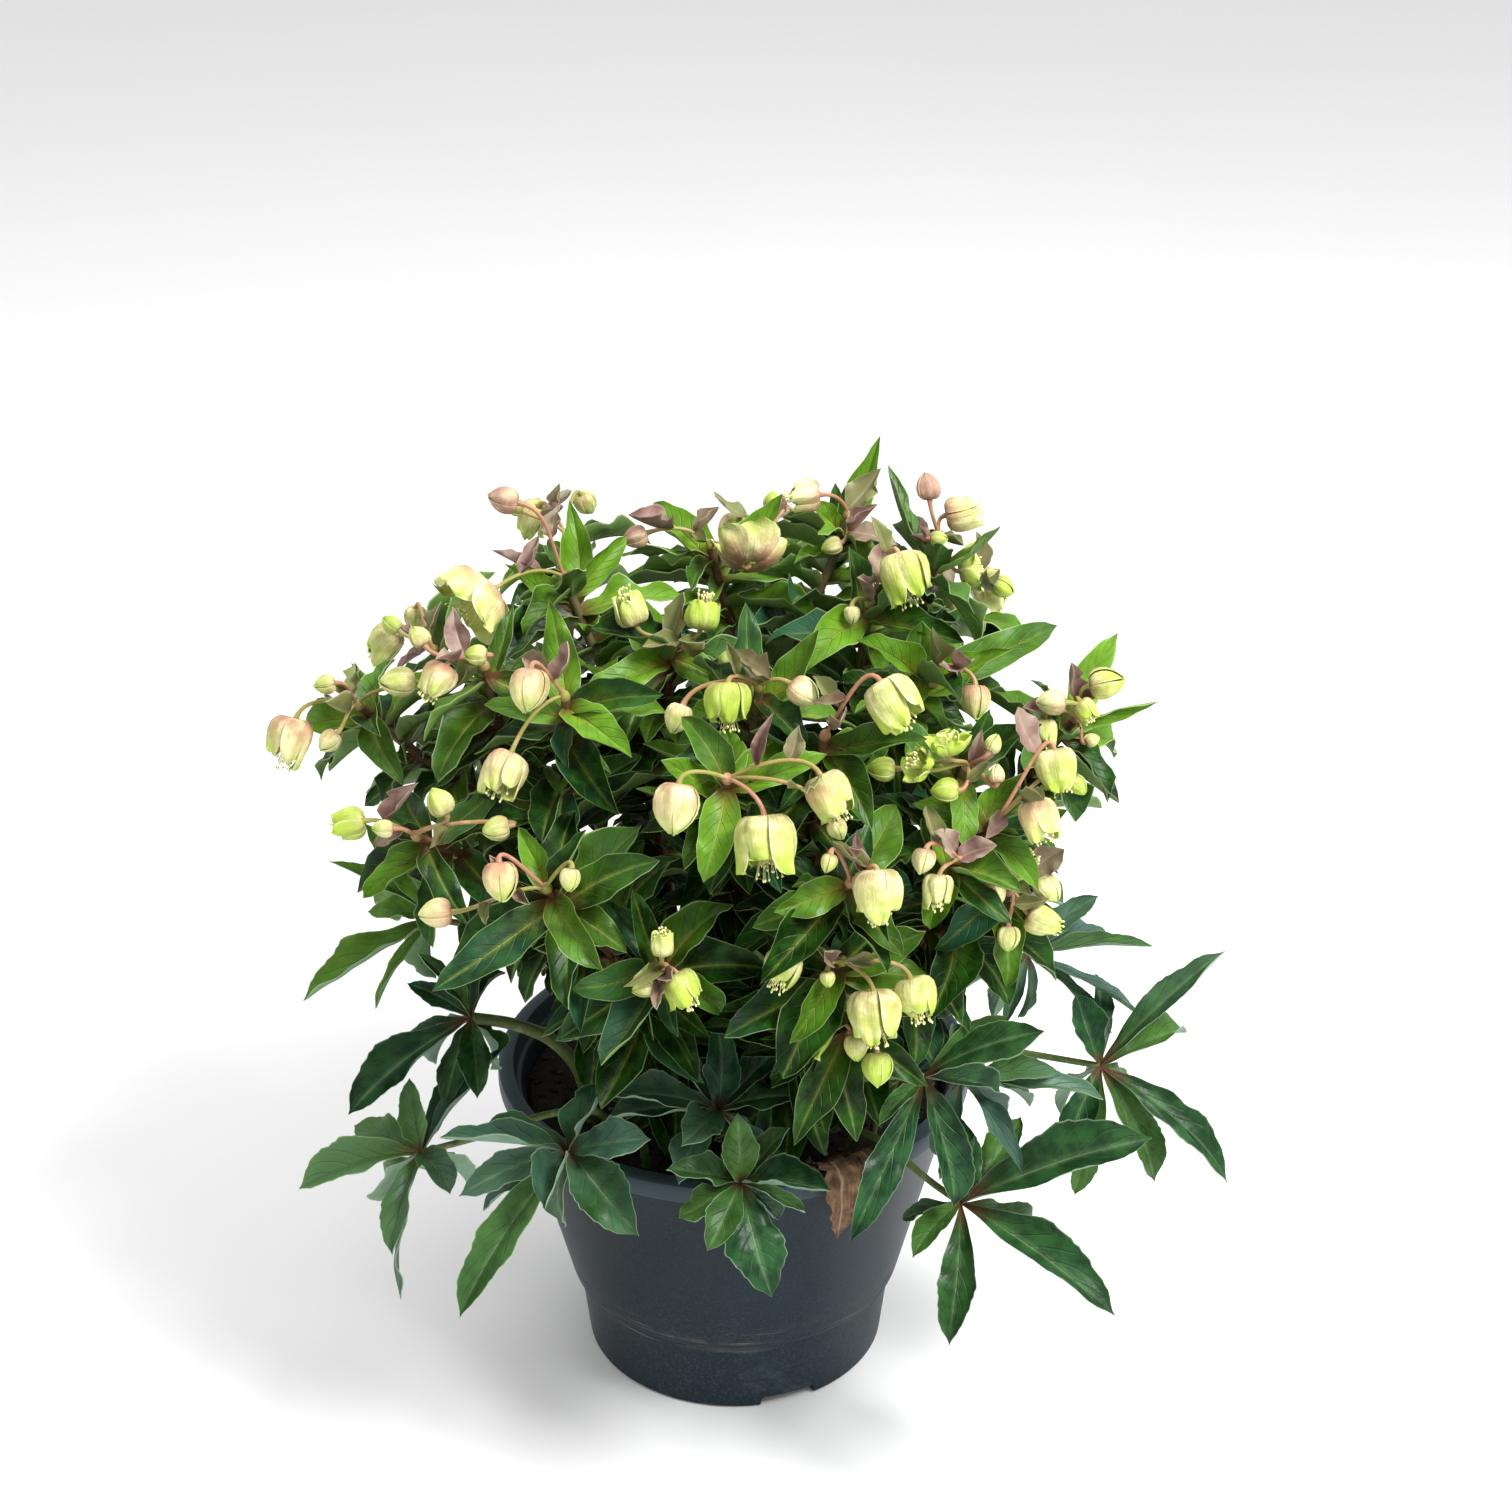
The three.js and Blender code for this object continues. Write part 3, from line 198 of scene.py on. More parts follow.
# Stems by name: the foot on the soil, and the cymes that it carries.
STEMS = {
    "stem_left_top": ((-22, 6), ("a", "c")),
    "stem_top": ((2, 18), ("b", "m")),
    "stem_left": ((-46, -8), ("d", "e")),
    "stem_left_front": ((-36, -27), ("f", "g")),
    "stem_front_left": ((-24, -46), ("h", "x")),
    "stem_front": ((-4, -30), ("i", "j")),
    "stem_front_right": ((14, -36), ("k", "s")),
    "stem_right_top": ((22, -4), ("l", "o")),
    "stem_right_back": ((36, 18), ("n", "back_d")),
    "stem_right": ((52, -2), ("p",)),
    "stem_right_mid": ((36, -26), ("q", "r")),
    "stem_right_front": ((36, -50), ("t", "u")),
    "stem_low_front": ((14, -60), ("v", "w")),
    "stem_left_back": ((-34, 26), ("back_a", "back_b")),
    "stem_back": ((4, 42), ("back_c",)),
}

# Basal leaves by name: the foot on the soil, the fan's knot, and the leaflets, as a cyme's leaves.
FANS = {
    "fan_left_low": ((-52, -58), (-142, -92, 162),
        [(196, 10, 58, 21), (168, -15, 42, 18), (-105, 25, 50, 20), (-100, -25, 84, 12, 40), (98, 10, 36, 14),
         (-40, 45, 30, 18)]),
    "fan_front_left": ((-40, -72), (-72, -126, 186),
        [(-45, 35, 56, 25), (-124, 10, 88, 21), (-150, 10, 52, 14), (176, 0, 40, 16), (-112, 50, 42, 18),
         (62, 15, 38, 17), (14, 30, 44, 18)]),
    "fan_left": ((-68, -34), (-120, -60, 214),
        [(-134, 10, 72, 21), (-106, 10, 43, 13), (-80, 15, 42, 17), (152, 0, 34, 10), (-160, -25, 44, 12)]),
    "fan_left_high": ((-62, -14), (-136, -46, 258),
        [(-147, 10, 70, 16), (150, 10, 56, 8), (172, 15, 32, 14), (-124, 0, 50, 9)]),
    "fan_front": ((-2, -86), (4, -134, 175),
        [(-75, 15, 52, 26), (-3, 25, 44, 18), (36, 10, 34, 15), (92, 35, 42, 16), (-150, 0, 32, 15),
         (166, 20, 36, 16), (-118, 30, 38, 15)]),
    "fan_front_inner": ((-12, -74), (-6, -106, 194),
        [(88, 20, 42, 17), (116, 15, 44, 17), (158, 20, 48, 17), (62, 10, 44, 16), (-150, 45, 40, 18),
         (-112, 40, 40, 17), (-176, 0, 54, 18), (30, 20, 40, 15)]),
    "fan_right_low": ((52, -66), (102, -126, 158),
        [(21, 10, 92, 28), (-35, 15, 84, 23), (-97, 15, 64, 17), (-138, 20, 36, 16), (78, 10, 34, 14),
         (50, 5, 52, 14)]),
    "fan_right": ((66, -46), (103, -92, 202),
        [(160, 40, 26, 14), (60, 10, 28, 13), (6, 10, 46, 11), (-7, 5, 68, 12), (-22, 20, 58, 17),
         (-58, 30, 54, 10)]),
    "fan_right_far": ((74, -20), (170, -60, 188),
        [(44, 5, 80, 18), (96, 10, 36, 17), (-39, 5, 82, 15), (-64, -5, 62, 20), (-98, -20, 70, 16)]),
    "fan_right_high": ((72, 6), (138, -24, 226),
        [(5, 5, 60, 10), (-28, 10, 62, 8), (-42, 0, 56, 7), (40, -10, 44, 12)]),
    "fan_front_right": ((24, -80), (84, -122, 222),
        [(-116, 15, 80, 18), (-86, 10, 62, 20), (-140, 35, 34, 10)]),
    "fan_back_left": ((-58, 44), (-112, 96, 206),
        [(196, -30, 70, 20), (160, -20, 56, 17), (-120, -50, 60, 18), (120, -40, 50, 15),
         (-60, -60, 56, 17)]),
    "fan_back": ((-6, 74), (6, 142, 200),
        [(-90, -70, 72, 22), (-20, -50, 60, 18), (200, -50, 60, 18), (30, -40, 46, 15), (150, -40, 46, 15)]),
    "fan_back_right": ((56, 46), (118, 88, 200),
        [(-10, -30, 70, 20), (25, -20, 56, 17), (-60, -50, 60, 18), (60, -40, 48, 15), (-120, -60, 54, 17)]),
}

# ---------- directions ----------


def unit(v):
    return v / math.sqrt(float(v @ v))


def square_to(n, d):
    """The part of n that is square to d."""
    s = n - d * float(n @ d)
    size = math.sqrt(float(s @ s))
    return s / size if size > 1e-3 else square_to(np.array((0.3, -0.9, 0.3)), d)


def bearing(turn, lean):
    t, l = math.radians(turn), math.radians(lean)
    return RIGHT * (math.cos(t) * math.cos(l)) + RISE * (math.sin(t) * math.cos(l)) + FRONT * math.sin(l)


def turned(v, axis, angle):
    c, s = math.cos(angle), math.sin(angle)
    return v * c + np.cross(axis, v) * s + axis * (float(axis @ v) * (1 - c))


def tilted(axis, spin, tilt):
    """A direction leaned from an axis by tilt, at the turn spin round it, both in radians."""
    out = turned(square_to(RIGHT, axis), axis, spin)
    return axis * math.cos(tilt) + out * math.sin(tilt)


def bezier(p0, p1, p2, p3, steps):
    t = np.linspace(0, 1, steps + 1)[:, None]
    return (1 - t) ** 3 * p0 + 3 * (1 - t) ** 2 * t * p1 + 3 * (1 - t) * t * t * p2 + t ** 3 * p3


def distance(a, b):
    return math.sqrt(float((a - b) @ (a - b)))


def cut_up(line, steps_between):
    """A line with points added between its corners."""
    out = [line[0]]
    for a, b in zip(line[:-1], line[1:]):
        steps = steps_between(a, b)
        out += [a + (b - a) * ((k + 1) / steps) for k in range(steps)]
    return np.array(out)


def finely(line):
    return cut_up(line, lambda a, b: math.ceil(distance(a, b) / STEP))


class Draws:
    """The solids' own row of drawn numbers."""

    def __init__(self, seed):
        self.last = seed

    def draw(self, low, high):
        self.last = (self.last * 1664525 + 1013904223) % 4294967296
        return low + (high - low) * (self.last / 4294967296)


# ---------- leaf blades as the rule sees them ----------


def outline(shape, t):
    if shape == "leaflet":
        return 0.06 + 0.94 * np.sin(np.pi * np.clip(t, 0, 1) ** 1.25).clip(0) ** 0.9
    return 0.07 + 0.93 * np.sin(np.pi * np.clip(t, 0, 1) ** 0.86).clip(0) ** 0.8


def make_leaf(foot, chord, face, length, width, arch, shape):
    level = square_to(face, chord)
    heading = chord * math.cos(arch / 2) + level * math.sin(arch / 2)
    normal = square_to(level, heading)
    side = np.cross(heading, normal)
    return SimpleNamespace(foot=foot, heading=heading, normal=normal, side=side, length=length, width=width,
                           arch=arch, fold=FOLD, shape=shape, filling=False)


def rib_at(leaf, t):
    """The midrib's points and the upper face's directions at an array t."""
    bend, run = leaf.arch * t, leaf.length / leaf.arch
    ahead = leaf.heading * (run * np.sin(bend))[:, None]
    down = leaf.normal * (run * (1 - np.cos(bend)))[:, None]
    normal = leaf.normal * np.cos(bend)[:, None] + leaf.heading * np.sin(bend)[:, None]
    return leaf.foot + ahead - down, normal


def blade_at(leaf, t, v):
    point, normal = rib_at(leaf, t)
    half = leaf.width / 2 * outline(leaf.shape, t)
    return point + leaf.side * (v * half * math.cos(leaf.fold))[:, None] \
        + normal * (np.abs(v) * half * math.sin(leaf.fold))[:, None]


def leaf_points(leaf):
    rows = max(3, math.ceil(leaf.length / STEP))
    columns = max(1, math.ceil(leaf.width / 2 / STEP))
    t = np.repeat(np.arange(1, rows + 1) / rows, 2 * columns + 1)
    v = np.tile(np.arange(-columns, columns + 1) / columns, rows)
    return blade_at(leaf, t, v)


# ---------- keeping clear ----------


class Kept:
    """Every ball that a new leaf has to clear: its place, its radius and its node."""

    def __init__(self, room=120000, groups=12000):
        self.place, self.radius, self.node = np.empty((room, 3)), np.empty(room), np.empty(room, int)
        self.low, self.high = np.empty((groups, 3)), np.empty((groups, 3))
        self.count = 0
        self.names = {}
        self.spans = []

    def number(self, name):
        return self.names.setdefault(name, len(self.names))

    def add(self, points, radius, name):
        points = np.atleast_2d(points)
        rows = slice(self.count, self.count + len(points))
        self.place[rows], self.radius[rows], self.node[rows] = points, radius, self.number(name)
        group, reach = len(self.spans), np.max(radius)
        self.low[group], self.high[group] = points.min(axis=0) - reach, points.max(axis=0) + reach
        self.spans.append(np.arange(self.count, self.count + len(points)))
        self.count += len(points)

    def add_line(self, line, radius, name):
        line = finely(line)
        self.add(line, radius(np.arange(len(line)) / (len(line) - 1)), name)

    def near(self, points, margin):
        """The rows whose balls come within margin of the box round the points."""
        low, high = points.min(axis=0) - margin, points.max(axis=0) + margin
        count = len(self.spans)
        groups = np.flatnonzero(((self.high[:count] > low) & (self.low[:count] < high)).all(axis=1))
        if not len(groups):
            return groups
        rows = np.concatenate([self.spans[group] for group in groups])
        at, reach = self.place[rows], self.radius[rows, None]
        return rows[((at + reach > low) & (at - reach < high)).all(axis=1)]


def inner_radius(z):
    """The pot's inner wall at an array of heights, on the flats of its solid."""
    lip, band = (POT["lip"] - 8, POT["height"] - 4), (POT["foot"] + 8 - POT["wall"], POT["band"])
    foot = (POT["foot"] - POT["wall"], POT["floor"])
    high = band[0] + (lip[0] - band[0]) * (z - band[1]) / (lip[1] - band[1])
    low = foot[0] + (band[0] - foot[0]) * (z - foot[1]) / (band[1] - foot[1])
    return np.where(z > band[1], high, low) * math.cos(math.pi / POT["sides"])


def near_pot(p, margin):
    away, z = np.hypot(p[:, 0], p[:, 1]), p[:, 2]
    outside = (away > POT["lip"] + margin) | (z > POT["height"] + margin)
    inside_bad = (away > inner_radius(z) - margin) | (z < SOIL["top"] + SOIL["crown"] + margin)
    return np.where(outside, z < margin, inside_bad)


def is_clear(kept, leaf, node, fork, room, at_fork, pot_room):
    points = leaf_points(leaf)
    clear, root = room["clear"], room["root"]
    if near_pot(points, pot_room + RIB / 2).any():
        return False
    rows = kept.near(points, clear + RIB / 2)
    if not len(rows):
        return True
    own, at_end = kept.number(node), kept.number(fork)
    out = np.sqrt(((points - leaf.foot) ** 2).sum(axis=1))
    apart = np.sqrt(((points[:, None, :] - kept.place[rows][None]) ** 2).sum(axis=2))
    nodes, radius = kept.node[rows][None], kept.radius[rows][None]
    needed = np.where((out[:, None] < FORK_ZONE) & (nodes == at_end), at_fork, clear)
    fine = (apart > radius + RIB / 2 + needed) | ((nodes == own) & (out[:, None] < root))
    return bool(fine.all())


def keep_if_clear(kept, leaf, node, fork, room, at_fork=CLEAR_AT_FORK, pot_room=WIDE["clear"]):
    """Whether a node's leaf, on its way to the node of a fork, is clear. If it is, its balls are kept too."""
    clear = is_clear(kept, leaf, node, fork, room, at_fork, pot_room)
    if clear:
        kept.add(leaf_points(leaf), RIB / 2, node)
    return clear


# How far a leaf may be turned and lifted away from its wanted direction, in degrees, the nearest first.
TURNS = [(0, 0), (8, 0), (-8, 0), (0, 10), (0, -10), (15, 0), (-15, 0), (12, 12), (-12, 12), (12, -12),
         (-12, -12), (0, 20), (0, -20), (25, 0), (-25, 0), (22, 18), (-22, 18), (22, -18), (-22, -18),
         (36, 0), (-36, 0), (0, 32), (0, -32)]
SHORTER = (1, 0.85, 0.7)
PLAIN_TRIES = [(WIDE, TURNS, SHORTER)]
SET_TRIES = [(WIDE, TURNS[:11], (1,)), (CLOSE, TURNS[:11], (1, 0.85)), *PLAIN_TRIES, (CLOSE, TURNS, SHORTER)]


def place(kept, make, node, fork, tries=PLAIN_TRIES):
    """A list with the first clear leaf that make gives for a turn, a lift and a scale, or no leaf."""
    for room, turns, scales in tries:
        for scale in scales:
            for turn, lift in turns:
                leaf = make(turn, lift, scale)
                if keep_if_clear(kept, leaf, node, fork, room):
                    return [leaf]
    return []


# ---------- growing the plant ----------

# Balls that stand for a bloom: their places along it and their radii, as shares of its length.
GIRTH = {"bud": [(0.35, 0.36), (0.7, 0.32)], "bell": [(0.35, 0.42), (0.75, 0.46)], "open": [(0.3, 0.5)]}


def grow_cyme(name):
    at, more, bloom_rows, leaf_rows = CYMES[name]
    fork = np.array(at, float)
    axis = unit(unit(fork - DOME) * 0.75 + UP * 0.45)
    blooms = []
    for dx, dy, dz, length, kind, turn, lean in bloom_rows:
        way = bearing(turn, lean)
        middle = fork + np.array((dx, dy, dz), float)
        foot = middle - way * ((0.25 if kind == "open" else 0.5) * length)
        blooms.append(SimpleNamespace(kind=kind, length=length, axis=way, foot=foot))
    return SimpleNamespace(name=name, node="cyme_" + name, fork=fork, axis=axis, blooms=blooms, more=more,
                           leaf_rows=leaf_rows, bractlets=[])


def stalk_line(cyme, bloom, steps):
    reach = distance(bloom.foot, cyme.fork)
    start = cyme.fork + cyme.axis * (KNOB["height"] / 2)
    way = unit(unit(bloom.foot - start) * 0.7 + cyme.axis * 0.6)
    end = bloom.foot - bloom.axis * (reach * 0.34)
    return bezier(start, start + way * (reach * 0.4), end, bloom.foot, steps)


def keep_cyme(kept, cyme):
    kept.add(cyme.fork + cyme.axis * (KNOB["height"] / 2), KNOB["radius"] + 0.4, cyme.node)
    for bloom in cyme.blooms:
        kept.add(finely(stalk_line(cyme, bloom, STALK_STEPS)), STALK_RADIUS, cyme.node)
        for t, r in GIRTH[bloom.kind]:
            kept.add(bloom.foot + bloom.axis * (t * bloom.length), r * bloom.length, cyme.node)


def root_line(foot):
    low, top = SOIL["top"] - HOLE_DEPTH + 1, SOIL["top"] + SOIL["crown"] + 1
    return [np.array((*foot, z), float) for z in (low, top)]


def grow_stem(name, cymes):
    foot, carries = STEMS[name]
    ends = [cymes[c] for c in carries]
    low, top = root_line(foot)
    middle = sum(c.fork for c in ends) / len(ends)
    split = top + (middle - top) * 0.6 + UP * 15
    rise = split[2] - top[2]
    way = unit(middle - top)
    trunk = np.vstack([low[None], bezier(top, top + UP * (rise * 0.4), split - way * (rise * 0.3), split, 3)])
    lean = unit(split - trunk[-2])
    branches = []
    for cyme in ends:
        span = distance(cyme.fork, split)
        end = cyme.fork - cyme.axis * (span * 0.4)
        branches.append(bezier(split, split + lean * (span * 0.35), end, cyme.fork, 3))
    return SimpleNamespace(name=name, trunk=trunk, branches=branches, ends=ends, leaves=[])


def trunk_radius(t):
    foot, fork = STEM_RADIUS
    return foot + (fork + 0.4 - foot) * t


def branch_radius(t):
    return STEM_RADIUS[1] + 0.4 * (1 - t)


def petiole_radius(t):
    foot, knot = PETIOLE_RADIUS
    return foot + (knot - foot) * t


def back_from_end(line, way):
    left = way
    for i in range(len(line) - 1, 0, -1):
        span = distance(line[i], line[i - 1])
        if left <= span:
            return line[i] + (line[i - 1] - line[i]) * (left / span)
        left -= span
    return line[0].copy()


def ends_of(stems):
    """Every stem with each of its cymes and the branch to it."""
    return [(stem, cyme, branch) for stem in stems for cyme, branch in zip(stem.ends, stem.branches)]


def rolled_face(face, heading, roll):
    return turned(square_to(face, heading), heading, math.radians(roll))


def grow_set_bracts(kept, stem, cyme, branch):
    """The leaves that the table sets, the lowest first."""
    outward = unit(cyme.fork - DOME)
    rows = sorted(cyme.leaf_rows, key=lambda row: float(bearing(row[0], row[1]) @ cyme.axis))
    for i, row in enumerate(rows):
        turn, lean, length, width, roll = (*row, 0)[:5]
        foot = back_from_end(branch, SPACING["first"] + SPACING["next"] * i)

        def make(d_turn, d_lean, scale):
            heading = bearing(turn + d_turn, lean + d_lean)
            face = rolled_face(outward * 0.5 + FRONT * 0.7 + UP * 0.25, heading, roll)
            arch = ARCH["rising"] if float(heading @ cyme.axis) > RISING else ARCH["spreading"]
            shape = "bract" if width > 14 else "plain"
            return make_leaf(foot, heading, face, length * scale, width * (0.5 + scale / 2), arch, shape)

        stem.leaves += place(kept, make, stem.name, cyme.node, SET_TRIES)


def grow_more_bracts(kept, draws, stem, cyme, branch):
    """The leaves that the rule adds, ever further down the branch and its trunk."""
    start = SPACING["first"] + SPACING["next"] * len(cyme.leaf_rows)
    line = np.vstack([stem.trunk[:-1], branch])
    for i in range(cyme.more):
        spin, opened, length = draws.draw(0, 40) + i * 137.5, draws.draw(62, 98), draws.draw(42, 52) + 2 * i
        foot = back_from_end(line, start + SPACING["more"] * i)

        def make(d_turn, d_lean, scale):
            heading = tilted(cyme.axis, math.radians(spin + d_turn), math.radians(opened + d_lean))
            face = cyme.axis + UP * 0.4
            long = length * scale
            return make_leaf(foot, heading, face, long, long * 0.42, ARCH["more"], "plain")

        stem.leaves += place(kept, make, stem.name, cyme.node)


def grow_fan(kept, name):
    foot, at, leaf_rows = FANS[name]
    knot = np.array(at, float)
    low, top = root_line(foot)
    span = distance(knot, top)
    outward = unit(knot - np.array((*foot, at[2] - 20), float))
    stalk = bezier(top, top + UP * (span * 0.5), knot - outward * (span * 0.3), knot, 4)
    line = np.vstack([low[None], stalk])
    kept.add_line(line, petiole_radius, name)
    return SimpleNamespace(name=name, line=line, knot=knot, outward=outward, leaf_rows=leaf_rows, leaves=[])


def make_leaflet(fan, heading, roll, length, width):
    face = rolled_face(UP * 0.8 + FRONT * 0.35 + fan.outward * 0.25, heading, roll)
    return make_leaf(fan.knot, heading, face, length, width, ARCH["leaflet"], "leaflet")


def grow_leaflets(kept, fan):
    for row in fan.leaf_rows:
        turn, lean, length, width, roll = (*row, 0)[:5]

        def make(d_turn, d_lean, scale):
            return make_leaflet(fan, bearing(turn + d_turn, lean + d_lean), roll, length * scale, width)

        fan.leaves += place(kept, make, fan.name, fan.name)


WITHERED = {"turn": -62, "half": 8, "thick": 1.2, "kept": 2,
            "rib": [(86, 145.5), (97, 152), (106, 158.95), (113.5, 159.3), (117.2, 155.5), (117.6, 144),
                    (116, 134)],
            "spread": [0, 0.5, 0.8, 0.7, 1, 0.6, 0], "curl": [0, 0.4, 0.1, 0.35, 0.2, 0.6, 0]}


def line_headings(points):
    ends = np.vstack([points[1:], points[-1:]]) - np.vstack([points[:1], points[:-1]])
    return ends / np.linalg.norm(ends, axis=1)[:, None]


def withered_frame(rib):
    """The dried leaf's midrib, its upper face's directions and the way across it."""
    out = turned(RIGHT, UP, math.radians(WITHERED["turn"]))
    side = np.cross(UP, out)
    line = np.array([out * r + UP * z for r, z in rib])
    return line, np.cross(line_headings(line), side), side


def keep_withered(kept):
    line, normal, side = withered_frame(WITHERED["rib"])
    for p, n, spread, curl in zip(line, normal, WITHERED["spread"], WITHERED["curl"]):
        half = WITHERED["half"] * spread
        if not half:
            kept.add(p, WITHERED["kept"], "withered_leaf")
            continue
        for s in (1, -1):
            kept.add(p + side * (s * half) + n * (half * curl), WITHERED["kept"], "withered_leaf")
            kept.add(p + n * (s * WITHERED["thick"] / 2), WITHERED["kept"], "withered_leaf")


def grow_plant():
    """The stems, cymes and fans with their leaves, in the order in which the solids grow."""
    kept, draws = Kept(), Draws(SEED)
    cymes = {name: grow_cyme(name) for name in CYMES}
    stems = [grow_stem(name, cymes) for name in STEMS]
    fans = [grow_fan(kept, name) for name in FANS]
    keep_withered(kept)
    for cyme in cymes.values():
        keep_cyme(kept, cyme)
    for stem in stems:
        kept.add_line(stem.trunk, trunk_radius, stem.name)
        for branch in stem.branches:
            kept.add_line(branch, branch_radius, stem.name)
    for stem, cyme, branch in ends_of(stems):
        grow_set_bracts(kept, stem, cyme, branch)
    for fan in fans:
        grow_leaflets(kept, fan)
    for stem, cyme, branch in ends_of(stems):
        grow_more_bracts(kept, draws, stem, cyme, branch)
    return kept, list(cymes.values()), stems, fans


# ---------- leaves and bracts that the solids leave out ----------

# seed: of the draws. each: how many are wanted. tries: how often each is drawn anew. deepest: how far back
# from the branch's end. long: the least and the most length.
FILLING = [{"seed": 77, "each": 30, "tries": 40, "room": {"clear": 1.0, "root": 7}, "deepest": 185,
            "long": (32, 54)},
           {"seed": 12, "each": 14, "tries": 26, "room": {"clear": 0.5, "root": 7}, "deepest": 130,
            "long": (20, 34)}]
FILLING_AT_FORK = 0.3
NEAREST = 7
LEAFLETS = {"seed": 9, "each": 3, "tries": 70, "room": {"clear": 0.4, "root": 7}}
BRACTLETS = {"seed": 31, "each": 3, "tries": 40, "room": {"clear": 0.3, "root": 7}, "fold": 0.4}
# How many more leaflets a fan gets where that isn't the LEAFLETS number.
CROWDED = {"fan_right": 7, "fan_right_high": 6, "fan_front_right": 5, "fan_right_far": 5, "fan_left_high": 5,
           "fan_left_low": 4, "fan_left": 5, "fan_front_inner": 4}


def fill(kept, make, rule, node, fork, at_fork, pot_room):
    """A list with the first clear leaf of several that make draws, or no leaf."""
    for _ in range(rule["tries"]):
        leaf = make()
        if keep_if_clear(kept, leaf, node, fork, rule["room"], at_fork, pot_room):
            leaf.filling = True
            return [leaf]
    return []


def grow_filling(kept, stems, rule):
    """Smaller leaves in what room is left, each tried in several directions from a point of its stem."""
    rng = random.Random(rule["seed"])
    for stem, cyme, branch in ends_of(stems):
        line = np.vstack([stem.trunk[:-1], branch])
        for i in range(rule["each"]):
            foot = back_from_end(line, NEAREST + (rule["deepest"] - NEAREST) * (i / rule["each"]) ** 1.2)
            face = cyme.axis + UP * 0.4 + unit(foot - DOME) * 0.4

            def make():
                spin, tilt = rng.uniform(0, ROUND), math.radians(rng.uniform(30, 100))
                length = rng.uniform(*rule["long"])
                return make_leaf(foot, tilted(cyme.axis, spin, tilt), face, length,
                                 length * rng.uniform(0.37, 0.5), rng.uniform(0.3, 0.8), "plain")

            pot_room = rule["room"]["clear"]
            stem.leaves += fill(kept, make, rule, stem.name, cyme.node, FILLING_AT_FORK, pot_room)


def grow_more_leaflets(kept, fans):
    """Leaflets in what room is left round each fan's knot, most of them outwards and level or drooping."""
    rng = random.Random(LEAFLETS["seed"])
    for fan in fans:
        away = math.degrees(math.atan2(fan.outward[1], fan.outward[0]))

        def make():
            heading = bearing(away + rng.uniform(-150, 150), rng.uniform(-55, 35))
            length = rng.uniform(32, 66)
            return make_leaflet(fan, heading, 0, length, length * rng.uniform(0.2, 0.34))

        for _ in range(CROWDED.get(fan.name, LEAFLETS["each"])):
            pot_room = LEAFLETS["room"]["clear"]
            fan.leaves += fill(kept, make, LEAFLETS, fan.name, fan.name, CLEAR_AT_FORK, pot_room)


def grow_bractlets(kept, cymes):
    """The small cupped bracts among a cyme's stalks."""
    rng = random.Random(BRACTLETS["seed"])
    for cyme in cymes:
        for _ in range(BRACTLETS["each"]):
            bloom = rng.choice(cyme.blooms)
            foot = stalk_line(cyme, bloom, 10)[rng.choice((1, 3, 4, 6))]

            def make():
                spin, tilt = rng.uniform(0, ROUND), math.radians(rng.uniform(20, 100))
                length = rng.uniform(13, 24)
                leaf = make_leaf(foot, tilted(cyme.axis, spin, tilt), cyme.axis + FRONT * 0.5, length,
                                 length * rng.uniform(0.5, 0.72), rng.uniform(-0.9, -0.3), "plain")
                leaf.fold = BRACTLETS["fold"]
                return leaf

            at_fork, pot_room = BRACTLETS["room"]["clear"], WIDE["clear"]
            cyme.bractlets += fill(kept, make, BRACTLETS, cyme.node, cyme.node, at_fork, pot_room)


# ---------- gathering a piece's mesh ----------


class Skin:
    """One piece in the making: points in mm, faces, and each point's run along and across, and its tone."""

    def __init__(self):
        self.points, self.faces, self.along, self.tone, self.finish = [], [], [], [], []
        self.count = 0

    def add(self, points, faces, along, tone, finish):
        """along: (n, 2), tone: (n, 3) or one row for all. faces: lists of indices into points."""
        n, base = len(points), self.count
        self.points.append(points)
        self.faces += [tuple(i + base for i in face) for face in faces]
        self.along.append(np.broadcast_to(along, (n, 2)))
        self.tone.append(np.broadcast_to(tone, (n, 3)))
        self.finish += [finish] * len(faces)
        self.count += n

    def piece(self, name, finishes):
        mesh = bpy.data.meshes.new(name)
        mesh.from_pydata((np.vstack(self.points) * MM).tolist(), [], self.faces)
        for finish in finishes:
            mesh.materials.append(finish)
        mesh.polygons.foreach_set("material_index", self.finish)
        corner = np.empty(len(mesh.loops), int)
        mesh.loops.foreach_get("vertex_index", corner)
        run = mesh.uv_layers.new(name="run")
        run.data.foreach_set("uv", np.vstack(self.along)[corner].astype(np.float32).ravel())
        tone = mesh.attributes.new("tone", "FLOAT_COLOR", "POINT")
        rows = np.hstack([np.vstack(self.tone), np.ones((self.count, 1))])
        tone.data.foreach_set("color", rows.astype(np.float32).ravel())
        mesh.update()
        return linked(name, mesh)


def linked(name, mesh):
    made = bpy.data.objects.new(name, mesh)
    bpy.context.collection.objects.link(made)
    return made


def settle(made, node):
    """Lets a piece ride its body and stand for its solid."""
    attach(made, "root")
    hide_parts(node)


def select_only(made):
    bpy.ops.object.select_all(action="DESELECT")
    made.select_set(True)
    bpy.context.view_layer.objects.active = made


def smooth(made, degrees):
    select_only(made)
    bpy.ops.object.shade_smooth_by_angle(angle=math.radians(degrees))


def apply_last(made):
    """Applies the modifier that was added last."""
    bpy.ops.object.modifier_apply(modifier=made.modifiers[-1].name)


def take_form(made):
    """A made object's points and faces, after which the object goes."""
    points = np.array([tuple(v.co) for v in made.data.vertices])
    faces = [tuple(p.vertices) for p in made.data.polygons]
    bpy.data.objects.remove(made)
    return points, faces


